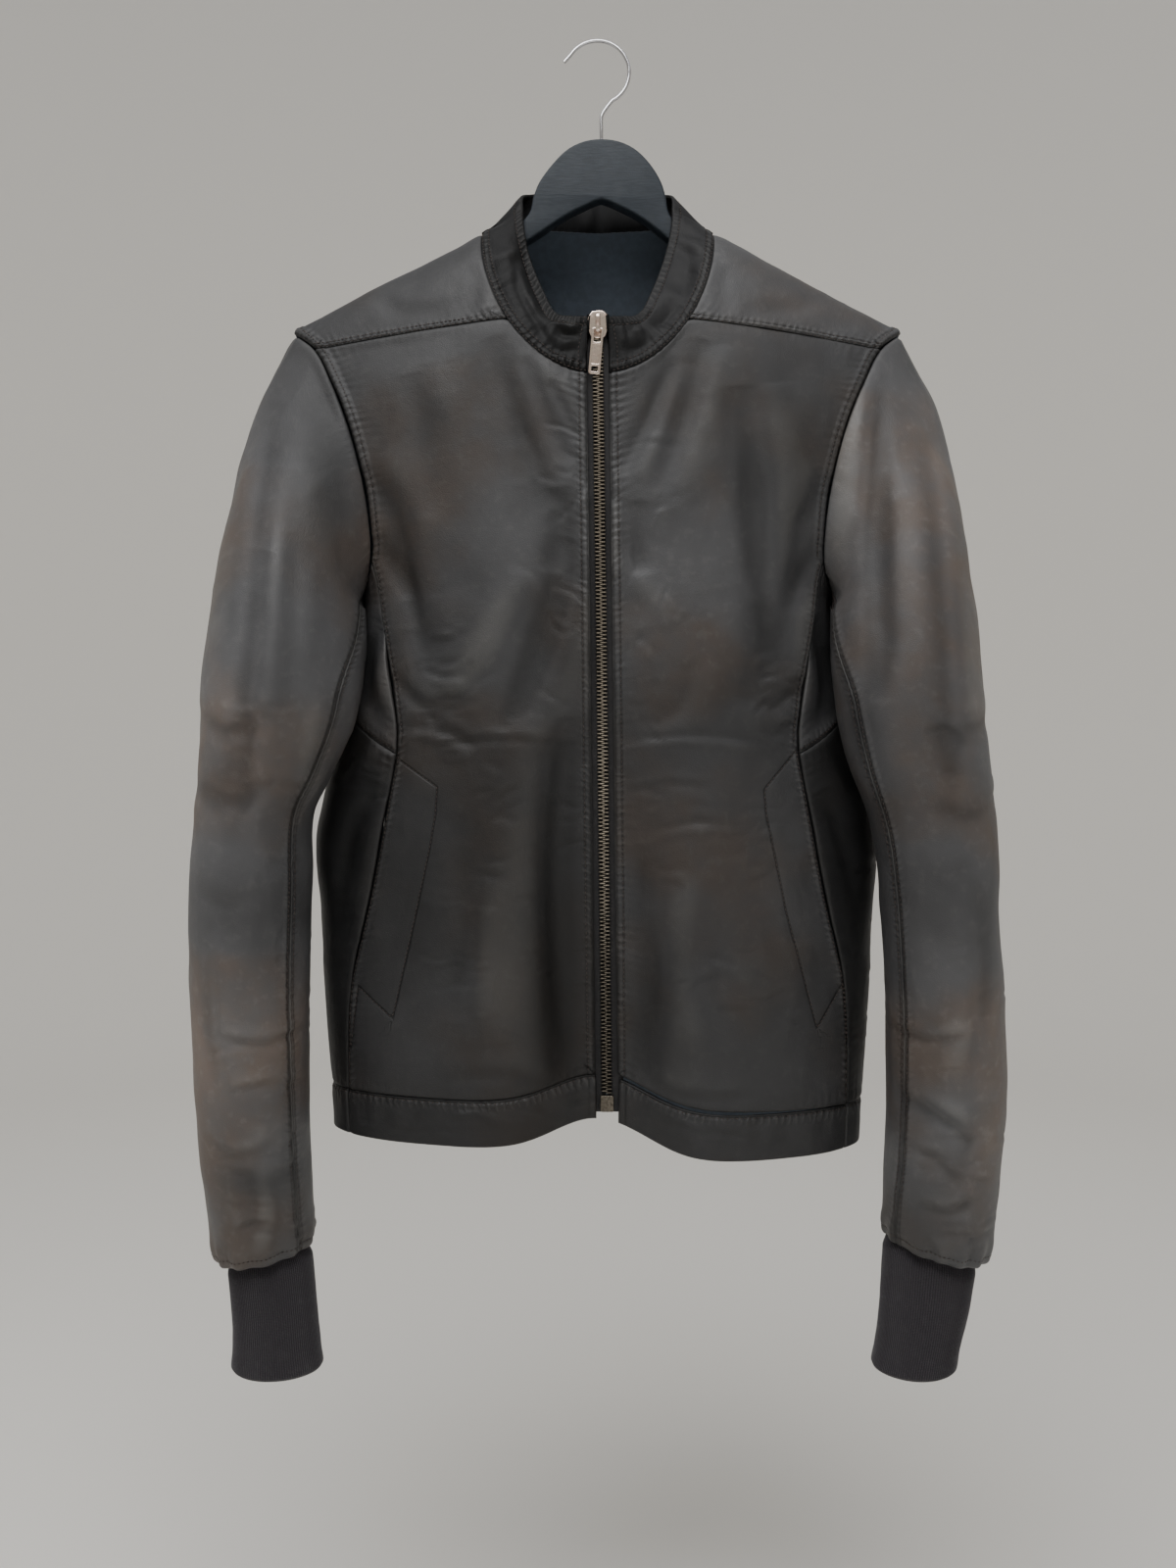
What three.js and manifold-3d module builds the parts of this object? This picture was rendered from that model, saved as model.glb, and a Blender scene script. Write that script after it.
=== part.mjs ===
// Leather zip jacket hanging on a wooden clothes hanger.
// Millimetres, +Z up, the front of the jacket faces -Y. The origin is the inside top of the hanger's
// wire hook, so most heights are written as a drop below it (drop = -z).
import * as THREE from 'three';
import { mergeVertices } from 'three/addons/utils/BufferGeometryUtils.js';
import Module from 'manifold-3d';

// ---------------------------------------------------------------- driving dimensions
const LEATHER = 2.0;            // shell leather with its backing
const DOUBLE_LEATHER = 2.6;     // collar and hem band, two layers sewn together
const LINING = 1.0;
const RIB_KNIT = 2.6;
const SEAM = 0.2;               // each panel stops this far short of its seam line
const LAYER_GAP = 0.4;          // air between two layers that lie on each other

const NECK_HALF = 77;           // half width of the neck seam, where it crosses the shoulder line
const NECK_TOP = 131;           // drop of the neck seam at the shoulder line
const NECK_FRONT_DEPTH = 107;   // from there down to the neck seam at the zip
const NECK_BACK_RISE = 9;       // from there up to the neck seam at the centre back
const SHOULDER_FALL = 0.51;     // slope of the shoulder line
const SHOULDER_ROUND = 110;     // height over which the shoulders round off
const SIDE_FULLNESS = 0.9;      // 1 is a true ellipse in plan, less is fuller
const YOKE_DROP = 201;          // forward shoulder seam at the neck
const YOKE_FALL = 0.09;
const HEM_DROP = 733;
const HEM_HEIGHT = 29;
const ZIP_HALF_GAP = 7;         // half of the open strip between the front edges
const ZIP_DRIFT = 0.0125;       // the zip wanders to one side on its way down
const ZIP_TOP = 200;
const CHEST_BACK_SEAM = 0.8;    // place of the side seams along the armhole, 0 tip and 1 underarm
const CHEST_FRONT_SEAM = 0.82;
const SLEEVE_BACK_SEAM = 0.5;
const CAP_END = 367;            // drop at which the sleeve has become a plain tube
const UNDERARM_DIP = 26;        // and how much lower that is under the arm
const SLEEVE_END = 811;
const CUFF_END = 884;

// ---------------------------------------------------------------- small helpers
const clamp = (v, lo, hi) => Math.min(hi, Math.max(lo, v));
const mix = (a, b, t) => a + (b - a) * t;
const radians = (degrees) => degrees * Math.PI / 180;
const steps = (from, to, count) => Array.from({ length: count + 1 }, (_, i) => mix(from, to, i / count));
const onAllAxes = (p, q, t) => p.map((v, k) => mix(v, q[k], t));

// Smooth curve through [parameter, ...values] rows.
function through(rows, parameter) {
  const t = clamp(parameter, rows[0][0], rows.at(-1)[0]);
  let i = 0;
  while (i < rows.length - 2 && t > rows[i + 1][0]) i += 1;
  const [a, b] = [rows[i], rows[i + 1]];
  const before = rows[i - 1] ?? a;
  const after = rows[i + 2] ?? b;
  const width = b[0] - a[0];
  const s = (t - a[0]) / width;
  return a.slice(1).map((start, k) => {
    const end = b[k + 1];
    const slopeA = before === a ? (end - start) / width : (end - before[k + 1]) / (b[0] - before[0]);
    const slopeB = after === b ? (end - start) / width : (after[k + 1] - start) / (after[0] - a[0]);
    const s2 = s * s;
    const s3 = s2 * s;
    return (2 * s3 - 3 * s2 + 1) * start + (s3 - 2 * s2 + s) * width * slopeA
      + (3 * s2 - 2 * s3) * end + (s3 - s2) * width * slopeB;
  });
}

// True where a grid's own winding disagrees with the outward normals it carries.
function facesInward(rows) {
  let agreement = 0;
  for (let j = 0; j + 1 < rows.length; j += 1) {
    for (let i = 0; i + 1 < rows[j].length; i += 1) {
      const [a, b, c] = [rows[j][i], rows[j][i + 1], rows[j + 1][i + 1]].map(({ p }) => new THREE.Vector3(...p));
      agreement += b.sub(a).cross(c.sub(a)).dot(new THREE.Vector3(...rows[j][i].n));
    }
  }
  return agreement < 0;
}

// A body of even thickness under patches of surface points. Each patch is rows of { p, n }, where n is the
// outward normal, and neighbouring patches share their border points exactly.
function shell(patches, thickness, inset = 0) {
  const index = new Map();
  const outer = [];
  const inner = [];
  const faces = [];
  const vertex = ({ p, n }) => {
    const key = p.map((v) => Math.round(v * 1000) || 0).join();
    if (!index.has(key)) {
      index.set(key, outer.length);
      outer.push(p.map((v, k) => v - n[k] * inset));
      inner.push(p.map((v, k) => v - n[k] * (inset + thickness)));
    }
    return index.get(key);
  };
  for (const rows of patches) {
    const flip = facesInward(rows);
    for (let j = 0; j + 1 < rows.length; j += 1) {
      for (let i = 0; i + 1 < rows[j].length; i += 1) {
        const [a, b, c, d] = [rows[j][i], rows[j][i + 1], rows[j + 1][i + 1], rows[j + 1][i]].map(vertex);
        for (const f of [[a, b, c], [a, c, d]]) {
          if (new Set(f).size === 3) faces.push(flip ? [f[0], f[2], f[1]] : f);
        }
      }
    }
  }
  const edges = new Map();
  for (const [a, b, c] of faces) {
    for (const [u, v] of [[a, b], [b, c], [c, a]]) {
      if (!edges.delete(`${v},${u}`)) edges.set(`${u},${v}`, [u, v]);
    }
  }
  const total = outer.length;
  const triangles = [...faces, ...faces.map(([a, b, c]) => [a + total, c + total, b + total])];
  for (const [u, v] of edges.values()) triangles.push([v, u, u + total], [v, u + total, v + total]);
  const geometry = new THREE.BufferGeometry();
  geometry.setAttribute('position', new THREE.Float32BufferAttribute([...outer, ...inner].flat(), 3));
  geometry.setIndex(triangles.flat());
  return geometry;
}

// Surface point and outward normal from a two-parameter surface.
function sampleSurface(surface, u, v, du, dv, outwardFrom) {
  const p = surface(u, v);
  const a = new THREE.Vector3(...surface(u + du, v)).sub(new THREE.Vector3(...surface(u - du, v)));
  const b = new THREE.Vector3(...surface(u, v + dv)).sub(new THREE.Vector3(...surface(u, v - dv)));
  const n = a.cross(b).normalize();
  const away = new THREE.Vector3(...p).sub(new THREE.Vector3(...outwardFrom(p)));
  if (n.dot(away) < 0) n.negate();
  return { p, n: n.toArray() };
}

// Grid between four border curves, each given as a list of [x, y] points (Coons patch).
function coons(top, bottom, start, end) {
  const rows = start.length;
  const cols = top.length;
  return Array.from({ length: rows }, (_, j) => Array.from({ length: cols }, (_, i) => {
    const u = i / (cols - 1);
    const v = j / (rows - 1);
    return [0, 1].map((k) => mix(top[i][k], bottom[i][k], v) + mix(start[j][k], end[j][k], u)
      - mix(mix(top[0][k], top[cols - 1][k], u), mix(bottom[0][k], bottom[cols - 1][k], u), v));
  }));
}

// ---------------------------------------------------------------- the torso's surface
const HALF_WIDTH = [[110, 222], [200, 221], [250, 210], [300, 190], [345, 168], [373, 158], [400, 158.5],
  [425, 163], [450, 168], [480, 175.5], [510, 183.5], [540, 188.5], [585, 185.5], [650, 181.5],
  [690, 178.5], [745, 175]];
const FRONT_DEPTH = [[110, 44], [240, 50], [350, 60], [500, 64], [650, 71], [745, 75]];
const BACK_DEPTH = [[110, 46], [240, 53], [350, 56], [500, 50], [745, 53]];
const ZIP_VALLEY = [[200, 0], [350, 4], [500, 13], [650, 28], [745, 41]];
const VALLEY_WIDTH = 43;

const zipX = (drop) => ZIP_DRIFT * Math.max(0, drop - 240);
const shoulderDrop = (x) => {
  const beyond = Math.abs(x) - NECK_HALF;
  return NECK_TOP + SHOULDER_FALL * (beyond >= 0 ? beyond : beyond * (1 + beyond / 260));
};

// Torso point from the sideways place x, the drop, and the face: -1 front, +1 back.
function torso(x, drop, face) {
  const q = clamp(Math.abs(x) / through(HALF_WIDTH, drop)[0], 0, 1);
  const down = clamp((drop - shoulderDrop(x)) / SHOULDER_ROUND, 0, 1);
  const rounded = Math.sqrt(1 - (1 - down) ** 2);
  const plan = (1 - q * q) ** (SIDE_FULLNESS / 2);
  const depth = through(face < 0 ? FRONT_DEPTH : BACK_DEPTH, drop)[0] * plan * rounded;
  const fromZip = (x - zipX(drop)) / VALLEY_WIDTH;
  const valley = face < 0 ? through(ZIP_VALLEY, drop)[0] * Math.exp(-fromZip * fromZip) * rounded : 0;
  return [x, face * depth + valley, -drop];
}

const torsoAxis = (p) => [p[0] * 0.55, 0, p[2] - 45];
const frontAt = (x, drop) => sampleSurface((u, v) => torso(u, v, -1), x, drop, 0.5, 0.5, torsoAxis);

// The back runs on over the shoulders, so it has its own height measure: 0 on the shoulder line,
// positive down the back and negative down the front.
const QUARTER = SHOULDER_ROUND * Math.PI / 2;
const overShoulder = (x, s) => {
  const along = Math.abs(s);
  const down = along < QUARTER ? SHOULDER_ROUND * (1 - Math.cos(along / SHOULDER_ROUND))
    : SHOULDER_ROUND + along - QUARTER;
  return torso(x, shoulderDrop(x) + down, s < 0 ? -1 : 1);
};
const overShoulderPlace = (x, drop, face) => {
  const down = Math.max(0, drop - shoulderDrop(x));
  const along = down < SHOULDER_ROUND ? SHOULDER_ROUND * Math.acos(1 - down / SHOULDER_ROUND)
    : QUARTER + down - SHOULDER_ROUND;
  return [x, face * along];
};
const backAt = (x, s) => sampleSurface(overShoulder, x, s, 0.5, 0.5, torsoAxis);

// The sides go round from front to back by angle: 90 degrees is the edge, below it the front.
const aroundSide = (side) => (angle, drop) => {
  const width = through(HALF_WIDTH, drop)[0];
  const p = torso(side * width * Math.sin(radians(angle)), drop, angle < 90 ? -1 : 1);
  if (Math.abs(angle - 90) < 1e-9) p[1] = 0;
  return p;
};
const sideAngle = (x, drop, face) => {
  const q = clamp(Math.abs(x) / through(HALF_WIDTH, drop)[0], 0, 1);
  const angle = Math.asin(q) * 180 / Math.PI;
  return face < 0 ? angle : 180 - angle;
};

// ---------------------------------------------------------------- seam lines
// Armhole, from the shoulder tip (0) to the underarm (1): half width and drop.
const ARMHOLE_FRONT = [[0, 205, 197.5], [0.07, 188, 212], [0.2, 175, 236], [0.33, 164, 262],
  [0.47, 155.5, 290], [0.6, 150, 316], [0.74, 147.5, 342], [0.82, 148.5, 355], [0.91, 152.5, 367],
  [1, 158, 373]];
const ARMHOLE_BACK = [[0, 205, 197.5], [0.1, 198, 213], [0.3, 184.5, 252], [0.5, 173, 292],
  [0.7, 162.5, 332], [0.8, 159, 350], [0.9, 157, 365], [1, 158, 373]];
const FRONT_SIDE_SEAM = [[355, 148.5], [370, 144], [400, 139.5], [432, 134], [459, 130], [480, 129.5],
  [506, 134], [563, 144.5], [596, 152], [627, 160], [660, 162.5], [745, 162.5]];
const BACK_SIDE_SEAM = [[350, 159], [380, 152], [430, 147], [480, 146], [560, 151], [745, 154]];

const hemEdge = (x, face) => HEM_DROP + 5 * Math.tanh(x / 50)
  - (face < 0 ? 16 * Math.exp(-((x / 38) ** 2)) : 0);
const hemSeam = (x, face) => hemEdge(x, face) - HEM_HEIGHT;

// Neck seam by angle from the zip round to the centre back.
const neckX = (angle) => NECK_HALF * Math.sin(radians(angle));
const neckDrop = (angle) => {
  const c = Math.cos(radians(angle));
  return NECK_TOP + (c > 0 ? NECK_FRONT_DEPTH : NECK_BACK_RISE) * c;
};
const YOKE_ANGLE = 48;          // where the forward shoulder seam meets the neck seam
const ZIP_ANGLE = Math.asin(ZIP_HALF_GAP / NECK_HALF) * 180 / Math.PI;
const NECK_FRONT = steps(ZIP_ANGLE, YOKE_ANGLE, 4);
const NECK_SIDE = steps(YOKE_ANGLE, 90, 5);
const NECK_BACK = steps(90, 180, 4);

const FRONT_ROWS = [0.07, 0.2, 0.33, 0.47, 0.6, 0.71, CHEST_FRONT_SEAM];
const BACK_ROWS = [0, 0.04, 0.12, 0.25, SLEEVE_BACK_SEAM, 0.66, CHEST_BACK_SEAM];
const armhole = (f, face) => through(face < 0 ? ARMHOLE_FRONT : ARMHOLE_BACK, f);
const UNDERARM_FRONT_STOPS = [1, 0.94, 0.88];
const UNDERARM_BACK_STOPS = [CHEST_BACK_SEAM, 0.88, 0.95];
const yokeDrop = (x) => YOKE_DROP + YOKE_FALL * (Math.abs(x) - 57);

// Drops at which neighbouring panels share their points along the side seams.
const UNDERARM_FRONT = [385, 420, 459];
const UNDERARM_BACK = [370, 390, 410];
const SLANT_FRONT = 481;        // the slanting seam under the arm, at its two ends
const SLANT_BACK = 430;
const SIDE_FRONT = [506, 545, 585, 620, 660];
const SIDE_BACK = [480, 520, 560, 600, 650];

// ---------------------------------------------------------------- torso panels
const YOKE_CORNER_GAP = 0.3;    // more room where neck seam and forward shoulder seam cross
function frontPanel(side) {
  const bottomDrop = (x) => hemSeam(x, -1) - SEAM;
  const top = NECK_FRONT.map((a) => [side * neckX(a), neckDrop(a) + SEAM]);
  const [endX] = armhole(FRONT_ROWS[0], -1);
  const corner = top.length - 1;
  top[corner][1] += YOKE_CORNER_GAP;
  for (const x of steps(neckX(YOKE_ANGLE), endX - SEAM, 5).slice(1)) top.push([side * x, yokeDrop(x) + SEAM]);
  const outer = FRONT_ROWS.map((f) => armhole(f, -1)).map(([x, drop]) => [side * (x - SEAM), drop + SEAM]);
  outer[0] = top.at(-1);
  for (const drop of [...UNDERARM_FRONT, SLANT_FRONT, ...SIDE_FRONT]) {
    outer.push([side * (through(FRONT_SIDE_SEAM, drop)[0] - SEAM), drop]);
  }
  const cornerX = side * (through(FRONT_SIDE_SEAM, HEM_DROP - HEM_HEIGHT)[0] - SEAM);
  outer.push([cornerX, bottomDrop(cornerX)]);
  const rows = outer.length - 1;
  const neckEnd = top[0][1];
  const inner = outer.map((_, j) => {
    const share = j / rows;
    const drop = mix(neckEnd, hemSeam(0, -1) - SEAM, share ** 0.9);
    return [zipX(drop) + side * ZIP_HALF_GAP, drop];
  });
  inner[0] = top[0];
  const bottom = top.map((_, i) => {
    const x = mix(inner.at(-1)[0], cornerX, i / (top.length - 1));
    return [x, bottomDrop(x)];
  });
  bottom[0] = inner.at(-1);
  const grid = coons(top, bottom, inner, outer);
  return grid.map((row) => row.map(([x, drop]) => frontAt(x, drop)));
}

function sidePatch(side, rowsOfDrops) {
  const surface = aroundSide(side);
  return rowsOfDrops.map((row) => row.map(([angle, drop]) => (
    sampleSurface(surface, angle, drop, 0.4, 0.5, torsoAxis))));
}

// The underarm piece and the lower side panel meet along a slanting seam.
function sideColumn(share, drop) {
  const from = sideAngle(through(FRONT_SIDE_SEAM, drop)[0] + SEAM, drop, -1);
  const to = sideAngle(through(BACK_SIDE_SEAM, drop)[0] + SEAM, drop, 1);
  return mix(from, to, share);
}
const SIDE_SHARES = steps(0, 1, 6);
const acrossSide = (front, back, share) => mix(front, back, Math.sin(share * Math.PI / 2));
function underarm(side) {
  const stops = [[CHEST_FRONT_SEAM, -1], ...UNDERARM_FRONT_STOPS.map((f) => [f, -1]).reverse(),
    ...UNDERARM_BACK_STOPS.map((f) => [f, 1]).reverse()];
  const top = stops.map(([f, face]) => {
    const [x, drop] = armhole(f, face);
    return [sideAngle(x, drop, face), drop + SEAM];
  });
  top[0][0] = sideAngle(armhole(CHEST_FRONT_SEAM, -1)[0] + SEAM, top[0][1], -1);
  top[6][0] = sideAngle(armhole(CHEST_BACK_SEAM, 1)[0] + SEAM, top[6][1], 1);
  const rows = [top];
  const ends = [...UNDERARM_FRONT.map((drop, k) => [drop, UNDERARM_BACK[k]]),
    [SLANT_FRONT - SEAM, SLANT_BACK - SEAM]];
  for (const [front, back] of ends) {
    rows.push(SIDE_SHARES.map((share) => {
      const drop = acrossSide(front, back, share);
      return [sideColumn(share, drop), drop];
    }));
  }
  return shell([sidePatch(side, rows)], LEATHER);
}
function sidePanel(side) {
  const end = HEM_DROP - HEM_HEIGHT + side * 5 - SEAM;
  const ends = [[SLANT_FRONT + SEAM, SLANT_BACK + SEAM], ...SIDE_FRONT.map((drop, k) => [drop, SIDE_BACK[k]]),
    [end, end]];
  const rows = ends.map(([front, back]) => SIDE_SHARES.map((share) => {
    const drop = acrossSide(front, back, share);
    return [sideColumn(share, drop), drop];
  }));
  return shell([sidePatch(side, rows)], LEATHER);
}

// The back is one piece that reaches over both shoulders to the forward shoulder seams.
function backRowsAt(side) {
  const outer = [];
  const [cornerX, cornerDrop] = armhole(FRONT_ROWS[0], -1);
  outer.push(overShoulderPlace(cornerX - SEAM, cornerDrop - 2 * SEAM, -1));
  for (const f of BACK_ROWS) {
    const [x, drop] = armhole(f, 1);
    outer.push(overShoulderPlace(x - SEAM, drop + (f > 0 ? SEAM : 0), 1));
  }
  outer[1][1] = 0;
  for (const drop of [...UNDERARM_BACK, SLANT_BACK, ...SIDE_BACK]) {
    outer.push(overShoulderPlace(through(BACK_SIDE_SEAM, drop)[0] - SEAM, drop, 1));
  }
  const lastX = through(BACK_SIDE_SEAM, HEM_DROP - HEM_HEIGHT)[0] - SEAM;
  outer.push(overShoulderPlace(lastX, hemSeam(side * lastX, 1) - SEAM, 1));
  return outer.map(([x, s]) => [side * x, s]);
}
function backPanel() {
  const patches = [];
  const spines = {};
  for (const side of [-1, 1]) {
    const outer = backRowsAt(side);
    const yokeNeck = overShoulderPlace(neckX(YOKE_ANGLE) + SEAM, yokeDrop(57) - SEAM, -1);
    // front part, from the forward shoulder seam up to the shoulder line
    const neckSide = NECK_SIDE.map((a) => {
      const place = overShoulderPlace(neckX(a) + 2 * SEAM, neckDrop(a), -1);
      return [side * place[0], place[1]];
    });
    neckSide[0] = [side * yokeNeck[0], yokeNeck[1]];
    neckSide[neckSide.length - 1] = [side * (NECK_HALF + 2 * SEAM), 0];
    const armSide = neckSide.map((_, k) => {
      const [x, drop] = armhole(mix(FRONT_ROWS[0], 0, k / (neckSide.length - 1)), -1);
      const place = overShoulderPlace(x - SEAM, drop - 2 * SEAM, -1);
      return [side * place[0], place[1]];
    });
    [armSide[0], armSide[armSide.length - 1]] = [outer[0], outer[1]];
    const seamEnd = Math.abs(outer[0][0]);
    const yoke = steps(Math.abs(neckSide[0][0]), seamEnd, 5).map((x) => {
      const place = overShoulderPlace(x, yokeDrop(x) - SEAM, -1);
      return [side * x, place[1]];
    });
    yoke[0] = neckSide[0];
    yoke[5] = outer[0];
    const ridge = steps(0, 1, 5).map((t) => onAllAxes(neckSide.at(-1), outer[1], t));
    const front = coons(yoke, ridge, neckSide, armSide);
    // back part, from the shoulder line down to the hem seam
    const backOuter = outer.slice(1);
    const spineX = neckSide.at(-1)[0];
    const spine = backOuter.map(([, s], k) => [spineX, k === 0 ? 0 : s]);
    spine[spine.length - 1] = overShoulderPlace(Math.abs(spineX), hemSeam(spineX, 1) - SEAM, 1);
    spine[spine.length - 1][0] = spineX;
    const hem = steps(0, 1, 5).map((t) => {
      const x = mix(spineX, backOuter.at(-1)[0], t);
      return [x, overShoulderPlace(Math.abs(x), hemSeam(x, 1) - SEAM, 1)[1]];
    });
    const back = coons(ridge, hem, spine, backOuter);
    spines[side] = spine;
    for (const grid of [front, back]) {
      patches.push(grid.map((row) => row.map(([x, s]) => backAt(x, s))));
    }
  }
  // centre, below the back of the neck seam
  const angles = [...NECK_BACK, ...NECK_BACK.slice(0, -1).reverse()];
  const top = angles.map((a, k) => {
    const x = (k < NECK_BACK.length ? 1 : -1) * neckX(a);
    return [x, overShoulderPlace(Math.abs(x), neckDrop(a) + 4 * SEAM, 1)[1]];
  });
  top[0] = spines[1][0];
  top[top.length - 1] = spines[-1][0];
  const hem = top.map((_, k) => {
    const x = mix(spines[1].at(-1)[0], spines[-1].at(-1)[0], k / (top.length - 1));
    return [x, overShoulderPlace(Math.abs(x), hemSeam(x, 1) - SEAM, 1)[1]];
  });
  hem[0] = spines[1].at(-1);
  hem[hem.length - 1] = spines[-1].at(-1);
  const centre = coons(top, hem, spines[1], spines[-1]);
  patches.push(centre.map((row) => row.map(([x, s]) => backAt(x, s))));
  return patches;
}
// The lining shows only inside the back of the neck, so it is a piece under the top of the back.
function neckLining(backPatches) {
  const rows = backPatches.at(-1).slice(0, 4).map((row) => row.slice(2, -2));
  return shell([rows], LINING, LEATHER + LAYER_GAP);
}

// ---------------------------------------------------------------- hem band
function hemBand(angles, side) {
  const surface = aroundSide(side);
  return steps(0, 1, 2).map((t) => angles.map((angle) => {
    const face = angle < 90 ? -1 : 1;
    const x = side * through(HALF_WIDTH, HEM_DROP)[0] * Math.sin(radians(angle));
    const drop = mix(hemSeam(x, face) + 2 * SEAM, hemEdge(x, face), t);
    return sampleSurface(surface, angle, drop, 0.4, 0.5, torsoAxis);
  }));
}
const HEM_JOIN = sideAngle(162.5, HEM_DROP - HEM_HEIGHT / 2, -1);
const HEM_START = (side) => {
  const edge = zipX(HEM_DROP) + side * ZIP_HALF_GAP;
  return side * Math.asin(edge / through(HALF_WIDTH, HEM_DROP - 14)[0]) * 180 / Math.PI;
};
const hemFront = (side) => shell([hemBand(steps(HEM_START(side), HEM_JOIN - 0.1, 10), side)], DOUBLE_LEATHER);
function hemBack() {
  const halves = [-1, 1].map((side) => hemBand(steps(HEM_JOIN + 0.1, 180, 11), side));
  return shell(halves, DOUBLE_LEATHER);
}

// ---------------------------------------------------------------- collar and lining
// Top edge of the stand collar by angle round the neck: half width, y and drop.
const COLLAR_EDGE = [[0, 0, -46, 200], [22, 17, -45, 199.5], [38, 27, -41, 196], [52, 35, -33, 179],
  [65, 42, -21, 158], [78, 47.5, -14, 136], [88, 50, -8, 118], [98, 51, 1, 104], [110, 49.5, 12, 97],
  [130, 43, 26, 91], [155, 25, 36, 87.5], [180, 0, 39, 86]];
function collarPoint(angle, height, side) {
  const seam = torso(neckX(angle), neckDrop(angle), angle < 90 ? -1 : 1);
  if (angle > 89.9 && angle < 90.1) seam[1] = 0;
  const [x, y, drop] = through(COLLAR_EDGE, angle);
  const p = onAllAxes(seam, [x, y, -drop], height);
  return [side * p[0], p[1], p[2]];
}
// Outward normal of the torso at the neck seam; the collar's lower edge shares it.
function neckNormal(angle, side) {
  const [x, drop] = [neckX(angle), neckDrop(angle)];
  if (angle < 89.9) return frontAt(side * x, drop).n;
  return backAt(side * x, overShoulderPlace(x, drop, 1)[1]).n;
}
const COLLAR_START = 0.05;      // gap to the neck seam, as a share of the collar's height
function collar() {
  const angles = [...NECK_FRONT, ...NECK_SIDE.slice(1), ...NECK_BACK.slice(1)];
  const inside = (p) => [0, 0, p[2] - 10];
  const patches = [-1, 1].map((side) => {
    const surface = (angle, height) => collarPoint(angle, height, side);
    return [COLLAR_START, 0.35, 0.7, 1].map((height) => angles.map((angle) => {
      const edge = Math.max(angle, ZIP_ANGLE);
      const sample = sampleSurface(surface, clamp(edge, 0.6, 179.4), height, 0.5, 0.02, inside);
      sample.p = surface(angle, height);
      if (height === COLLAR_START) sample.n = neckNormal(angle, side);
      if (angle === 180) sample.n[0] = 0;
      if (angle === NECK_FRONT[0]) sample.p[0] = side * ZIP_HALF_GAP;
      return sample;
    }));
  });
  return shell(patches, DOUBLE_LEATHER);
}
// ---------------------------------------------------------------- pockets
// A five-sided leather facing sewn behind each front along the pocket mouth in the side seam,
// with its point at the slanting seam. It takes the front panel's own points, moved in.
function pocketFacing(frontRows) {
  const first = FRONT_ROWS.length + UNDERARM_FRONT.length;
  const rows = frontRows.slice(first, first + SIDE_FRONT.length + 1).map((row) => row.slice(-3));
  rows[0] = rows[0].map(() => rows[0].at(-1));
  return shell([rows], LINING, LEATHER + LAYER_GAP);
}

// ---------------------------------------------------------------- sleeves and cuffs
// Outer edge and inner edge of each sleeve by drop, seen from the front.
const SLEEVE_EDGES = {
  '-1': [[367, 247.5, 155.7], [421, 251.3, 156], [458, 253.6, 159.2], [493, 254.9, 171.5],
    [520, 256, 182.8], [564, 258.2, 184.3], [627, 259.2, 186.5], [682, 257.5, 187.7], [727, 254.9, 188],
    [772, 253, 187.5], [811, 248.6, 188.5]],
  1: [[367, 243.4, 155.6], [421, 243.8, 155.9], [458, 246.2, 158.6], [493, 249.3, 164.4],
    [525, 252.1, 172.3], [565, 254.6, 179.3], [627, 258.6, 184.4], [672, 260.7, 186.1], [727, 260.8, 187],
    [772, 258.9, 185.5], [811, 255.7, 187.5]],
};
const SLEEVE_FRONT_BACK = [[367, -22, 52], [420, -38, 51], [480, -48, 47], [560, -49, 45], [640, -45, 43],
  [720, -38, 39], [780, -29, 35], [811, -24, 31]];    // centre y, half depth
const CUFF_EDGES = {
  '-1': [[806, 243.5, 188.5], [845, 240, 185.5], [884, 240.2, 182]],
  1: [[806, 249.5, 187.5], [845, 243.5, 185.8], [884, 235, 181]],
};
const CUFF_FRONT_BACK = [[806, -24, 27], [884, -20, 27]];

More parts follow.
